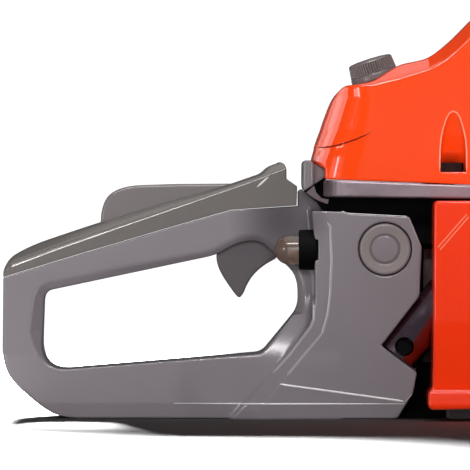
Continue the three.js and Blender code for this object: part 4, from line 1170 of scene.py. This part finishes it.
def chain_line(offset):
    """The chain's closed middle line, and how far along it each of its points lies."""
    points = half_circle(NOSE, NOSE_R + offset, -math.pi / 2, 24)
    points.append((SHOULDER[0], CRANK[1] + SHOULDER[1] + offset))
    points += half_circle(CRANK, SPROCKET_R + offset, math.pi / 2, 16)
    points.append((SHOULDER[0], CRANK[1] - SHOULDER[1] - offset))
    points.append(points[0])
    points = np.array(points)
    gone = np.concatenate([[0], np.cumsum(np.hypot(*np.diff(points, axis=0).T))])
    return points, gone


def plate(rim, y0, y1):
    """An upright plate: its rim (along, up) between two widths, as points and faces."""
    count = len(rim)
    points = [(a, y, b) for y in (y0, y1) for a, b in rim]
    faces = [tuple(range(count)), tuple(count + i for i in reversed(range(count)))]
    for i in range(count):
        j = (i + 1) % count
        faces.append((j, i, count + i, count + j))
    return points, faces


def link_plates():
    """Outlines of the chain's pieces, about the middle between two rivets."""
    half = LINK_PITCH / 2
    ends = [math.radians(a) for a in range(-90, 91, 30)]
    strap = [(half + 3.4 * math.cos(a), 3.4 * math.sin(a)) for a in ends]
    strap += [(0, 2.3)]
    strap += [(-half - 3.4 * math.cos(a), -3.4 * math.sin(a)) for a in ends]
    strap += [(0, -2.9)]
    drive = [(half + 3.2, -1), (half + 2.4, 2.6), (0, 3.2), (-half - 2.4, 2.6), (-half - 3.2, -1),
             (-3.4, -3.6), (-1.6, -8.2), (1.0, -8.2), (3.4, -3.6)]
    cutter = [(-half - 3.4, -2.6), (half + 3.4, -2.6), (half + 3.6, 1.2), (half + 3.0, 5.0),
              (half + 1.4, 5.2), (half - 0.6, 2.6), (half - 2.6, 2.8), (half - 3.4, 5.6), (-half - 2.6, 5.2),
              (-half - 3.6, 1.0)]
    top = [(half - 3.4, 4.7), (half - 3.3, 5.7), (-half - 2.6, 5.3), (-half - 2.6, 4.3)]
    return strap, drive, cutter, top


def chain():
    path, gone = chain_line(PLATE_MIDDLE)
    pairs = round(gone[-1] / (2 * LINK_PITCH))
    strap, drive, cutter, top = link_plates()
    points, faces = [], []

    def place(piece, at):
        at %= gone[-1]
        spot = np.array([np.interp(at, gone, path[:, k]) for k in (0, 1)])
        ahead = np.array([np.interp((at + 1) % gone[-1], gone, path[:, k]) for k in (0, 1)]) - spot
        ahead /= max(np.hypot(*ahead), 1e-9)
        out = np.array([ahead[1], -ahead[0]])
        base = len(points)
        piece_points, piece_faces = piece
        for a, y, b in piece_points:
            flat = spot - ahead * a + out * b
            points.append((flat[0], BAR_Y + y, flat[1]))
        faces.extend(tuple(base + i for i in face) for face in piece_faces)

    for i in range(pairs):
        at = gone[-1] * i / pairs
        half_step = gone[-1] / pairs / 2
        place(plate(drive, -0.6, 0.6), at + half_step)
        for side in (-1, 1):
            cuts = i % 2 == 0 and side == (1 if i % 4 == 0 else -1)
            inner, outer = sorted((side * 0.7, side * 1.9))
            place(plate(cutter if cuts else strap, inner, outer), at)
            if cuts:
                place(plate(top, *sorted((side * -0.4, side * 3.2))), at)
        for rivet in (-LINK_PITCH / 2, LINK_PITCH / 2):
            turns = [math.pi * k / 5 for k in range(10)]
            ring = [(rivet + RIVET_R * math.cos(a), RIVET_R * math.sin(a)) for a in turns]
            place(plate(ring, -2.3, 2.3), at)
    obj = mesh_object("chain_links", points, faces, smooth=False)
    finish_piece(obj, "powerhead", chain_steel, ["saw_chain"], "steel")


chain()

# ---------------------------------------------------------------- CAD pieces kept as they are
KEPT = {
    dark_alloy: "linkage_plate crankcase_right crankcase_left",
    alloy: "carburettor cylinder piston flywheel",
    felt: "air_filter",
    brass: "choke_plate throttle_plate",
    matt_black: "intake_boot fuel_cap_seal oil_cap_seal spark_plug_boot",
    deep_black: "front_handle_screw",
    porcelain: "spark_plug",
    steel: "piston_pin connecting_rod crankshaft_right crankshaft_left brake_band bar_stud_rear "
           "bar_stud_front bar_nut_rear bar_nut_front guard_pivot_bolt",
    dark_steel: "clutch_hub clutch_drum nose_sprocket spiked_bumper recoil_spring",
    bar_steel: "guide_bar",
    black: "ignition_coil starter_pulley",
}
for node, material in [(node, material) for material, nodes in KEPT.items() for node in nodes.split()]:
    obj = frame["nodes"][node]
    for place in obj.material_slots:
        place.material = material
    softened = obj.modifiers.new("eased_edges", "BEVEL")
    softened.width = 0.5 * MM
    softened.segments = 2
    softened.limit_method = "ANGLE"
    softened.angle_limit = math.radians(40)
    softened.harden_normals = True

# ---------------------------------------------------------------- stage, light and camera
VIEW_WIDTH = 268 * MM  # what the camera sees across, at the tank's near side
AIM = Vector(world((133, -42, 105)))
CAMERA_DISTANCE = 4.0
ELEVATION = math.radians(0.3)
ROOM_LIGHT = 0.08


def stage_card(name, corners, material):
    """A flat face which belongs to the studio."""
    mesh = bpy.data.meshes.new(name)
    mesh.from_pydata(corners, [], [tuple(range(len(corners)))])
    mesh.materials.append(material)
    obj = bpy.data.objects.new(name, mesh)
    bpy.context.scene.collection.objects.link(obj)
    return obj


def floor():
    """A pale round floor. It glows towards its rim, so that it ends in the same white as the sky,
    and reflections leave it out."""
    reach = 2.2
    n = Nodes("floor_white")
    glow = n.ramp(n.distance((0.1, 0, 0)), 0.0, 1.05, 0.62, 1.0)
    tone = n.blend(n.ramp(n.noise(3, 2), 0, 1), (0.21, 0.21, 0.21, 1), (0.23, 0.23, 0.23, 1))
    material = n.surface(color=tone, roughness=0.9)
    n.feed(n.shader.inputs["Emission Color"], (1, 1, 1, 1))
    n.feed(n.shader.inputs["Emission Strength"], glow)
    rim = [(reach * math.cos(math.pi * i / 48), reach * math.sin(math.pi * i / 48), 0) for i in range(96)]
    obj = stage_card("floor", rim, material)
    obj.visible_glossy = False
    return obj


def area_light(name, place, size, power, only=None, aim=AIM, diffuse=True):
    """A soft box aimed at the saw. It may light only what is in a collection, or show only in reflections."""
    light = bpy.data.lights.new(name, "AREA")
    light.shape = "RECTANGLE"
    light.size, light.size_y = size
    light.energy = power
    obj = bpy.data.objects.new(name, light)
    obj.location = place
    obj.rotation_euler = (Vector(aim) - Vector(place)).to_track_quat("-Z", "Y").to_euler()
    obj.visible_camera = False
    obj.visible_diffuse = diffuse
    bpy.context.scene.collection.objects.link(obj)
    if only:
        obj.light_linking.receiver_collection = only
    return obj


def light_group(name, obj, state):
    """A list for lights: everything but obj, or obj alone."""
    group = bpy.data.collections.new(name)
    group.objects.link(obj)
    group.collection_objects[0].light_linking.link_state = state
    return group


def flag():
    """A card behind the hand opening that only casts a shadow on the floor."""
    low, high = world([(44, 60, 1), (250, 60, 150)])
    corners = [(low[0], low[1], low[2]), (high[0], low[1], low[2]), (high[0], low[1], high[2]),
               (low[0], low[1], high[2])]
    obj = stage_card("flag", corners, deep_black)
    obj.visible_camera = False
    obj.visible_glossy = False
    obj.visible_diffuse = False
    obj.visible_transmission = False


def camera():
    data = bpy.data.cameras.new("camera")
    data.sensor_width = 36
    data.lens = 36 * CAMERA_DISTANCE / VIEW_WIDTH
    data.clip_end = 50
    obj = bpy.data.objects.new("camera", data)
    obj.location = AIM + Vector((0, -math.cos(ELEVATION), math.sin(ELEVATION))) * CAMERA_DISTANCE
    obj.rotation_euler = (AIM - obj.location).to_track_quat("-Z", "Y").to_euler()
    bpy.context.scene.collection.objects.link(obj)
    bpy.context.scene.camera = obj


def sky():
    """White where the camera looks, and a dim room for the saw's reflections."""
    world_sky = bpy.data.worlds.new("studio")
    world_sky.use_nodes = True
    tree = world_sky.node_tree
    seen = tree.nodes.new("ShaderNodeLightPath").outputs["Is Camera Ray"]
    room = tree.nodes["Background"]
    room.inputs["Color"].default_value = (0.94, 0.96, 1, 1)
    room.inputs["Strength"].default_value = ROOM_LIGHT
    paper = tree.nodes.new("ShaderNodeBackground")
    paper.inputs["Color"].default_value = (1, 1, 1, 1)
    paper.inputs["Strength"].default_value = 1.1
    mix = tree.nodes.new("ShaderNodeMixShader")
    tree.links.new(seen, mix.inputs["Fac"])
    tree.links.new(room.outputs[0], mix.inputs[1])
    tree.links.new(paper.outputs[0], mix.inputs[2])
    tree.links.new(mix.outputs[0], tree.nodes["World Output"].inputs["Surface"])
    bpy.context.scene.world = world_sky


def studio():
    bpy.context.scene.view_settings.view_transform = "Standard"
    sky()
    ground = floor()
    flag()
    floor_alone = light_group("floor_alone", ground, "INCLUDE")
    saw_alone = light_group("all_but_floor", ground, "EXCLUDE")
    hood_alone = light_group("hood_alone", hood, "INCLUDE")
    area_light("behind", (-0.3, 1.45, 0.6), (0.36, 0.3), 620, floor_alone, (-0.15, -0.2, 0))
    fill = area_light("fill", (-0.1, -3, 0.6), (1.6, 1.0), 59, saw_alone)
    fill.visible_glossy = False
    area_light("above", (-0.1, 0.1, 1.6), (1.6, 1.6), 12, saw_alone)
    area_light("key", (-0.25, -1.2, 1.48), (1.5, 0.2), 34, saw_alone, diffuse=False)
    area_light("left_wall", (-2.0, 0.25, 0.55), (1.5, 1.2), 15, hood_alone, diffuse=False)
    area_light("rear_wall", (-1.5, 0.95, 0.6), (1.6, 1.2), 6, hood_alone, diffuse=False)
    area_light("left_strip", (-1.46, -1.31, 0.28), (0.26, 0.5), 6, saw_alone, diffuse=False)
    area_light("right_strip", (1.2, -1.3, 0.3), (0.16, 0.5), 5, saw_alone, diffuse=False)
    side = area_light("right_wall", (1.35, -1.35, 0.8), (1.2, 0.9), 5, saw_alone)
    side.visible_glossy = False
    camera()


studio()
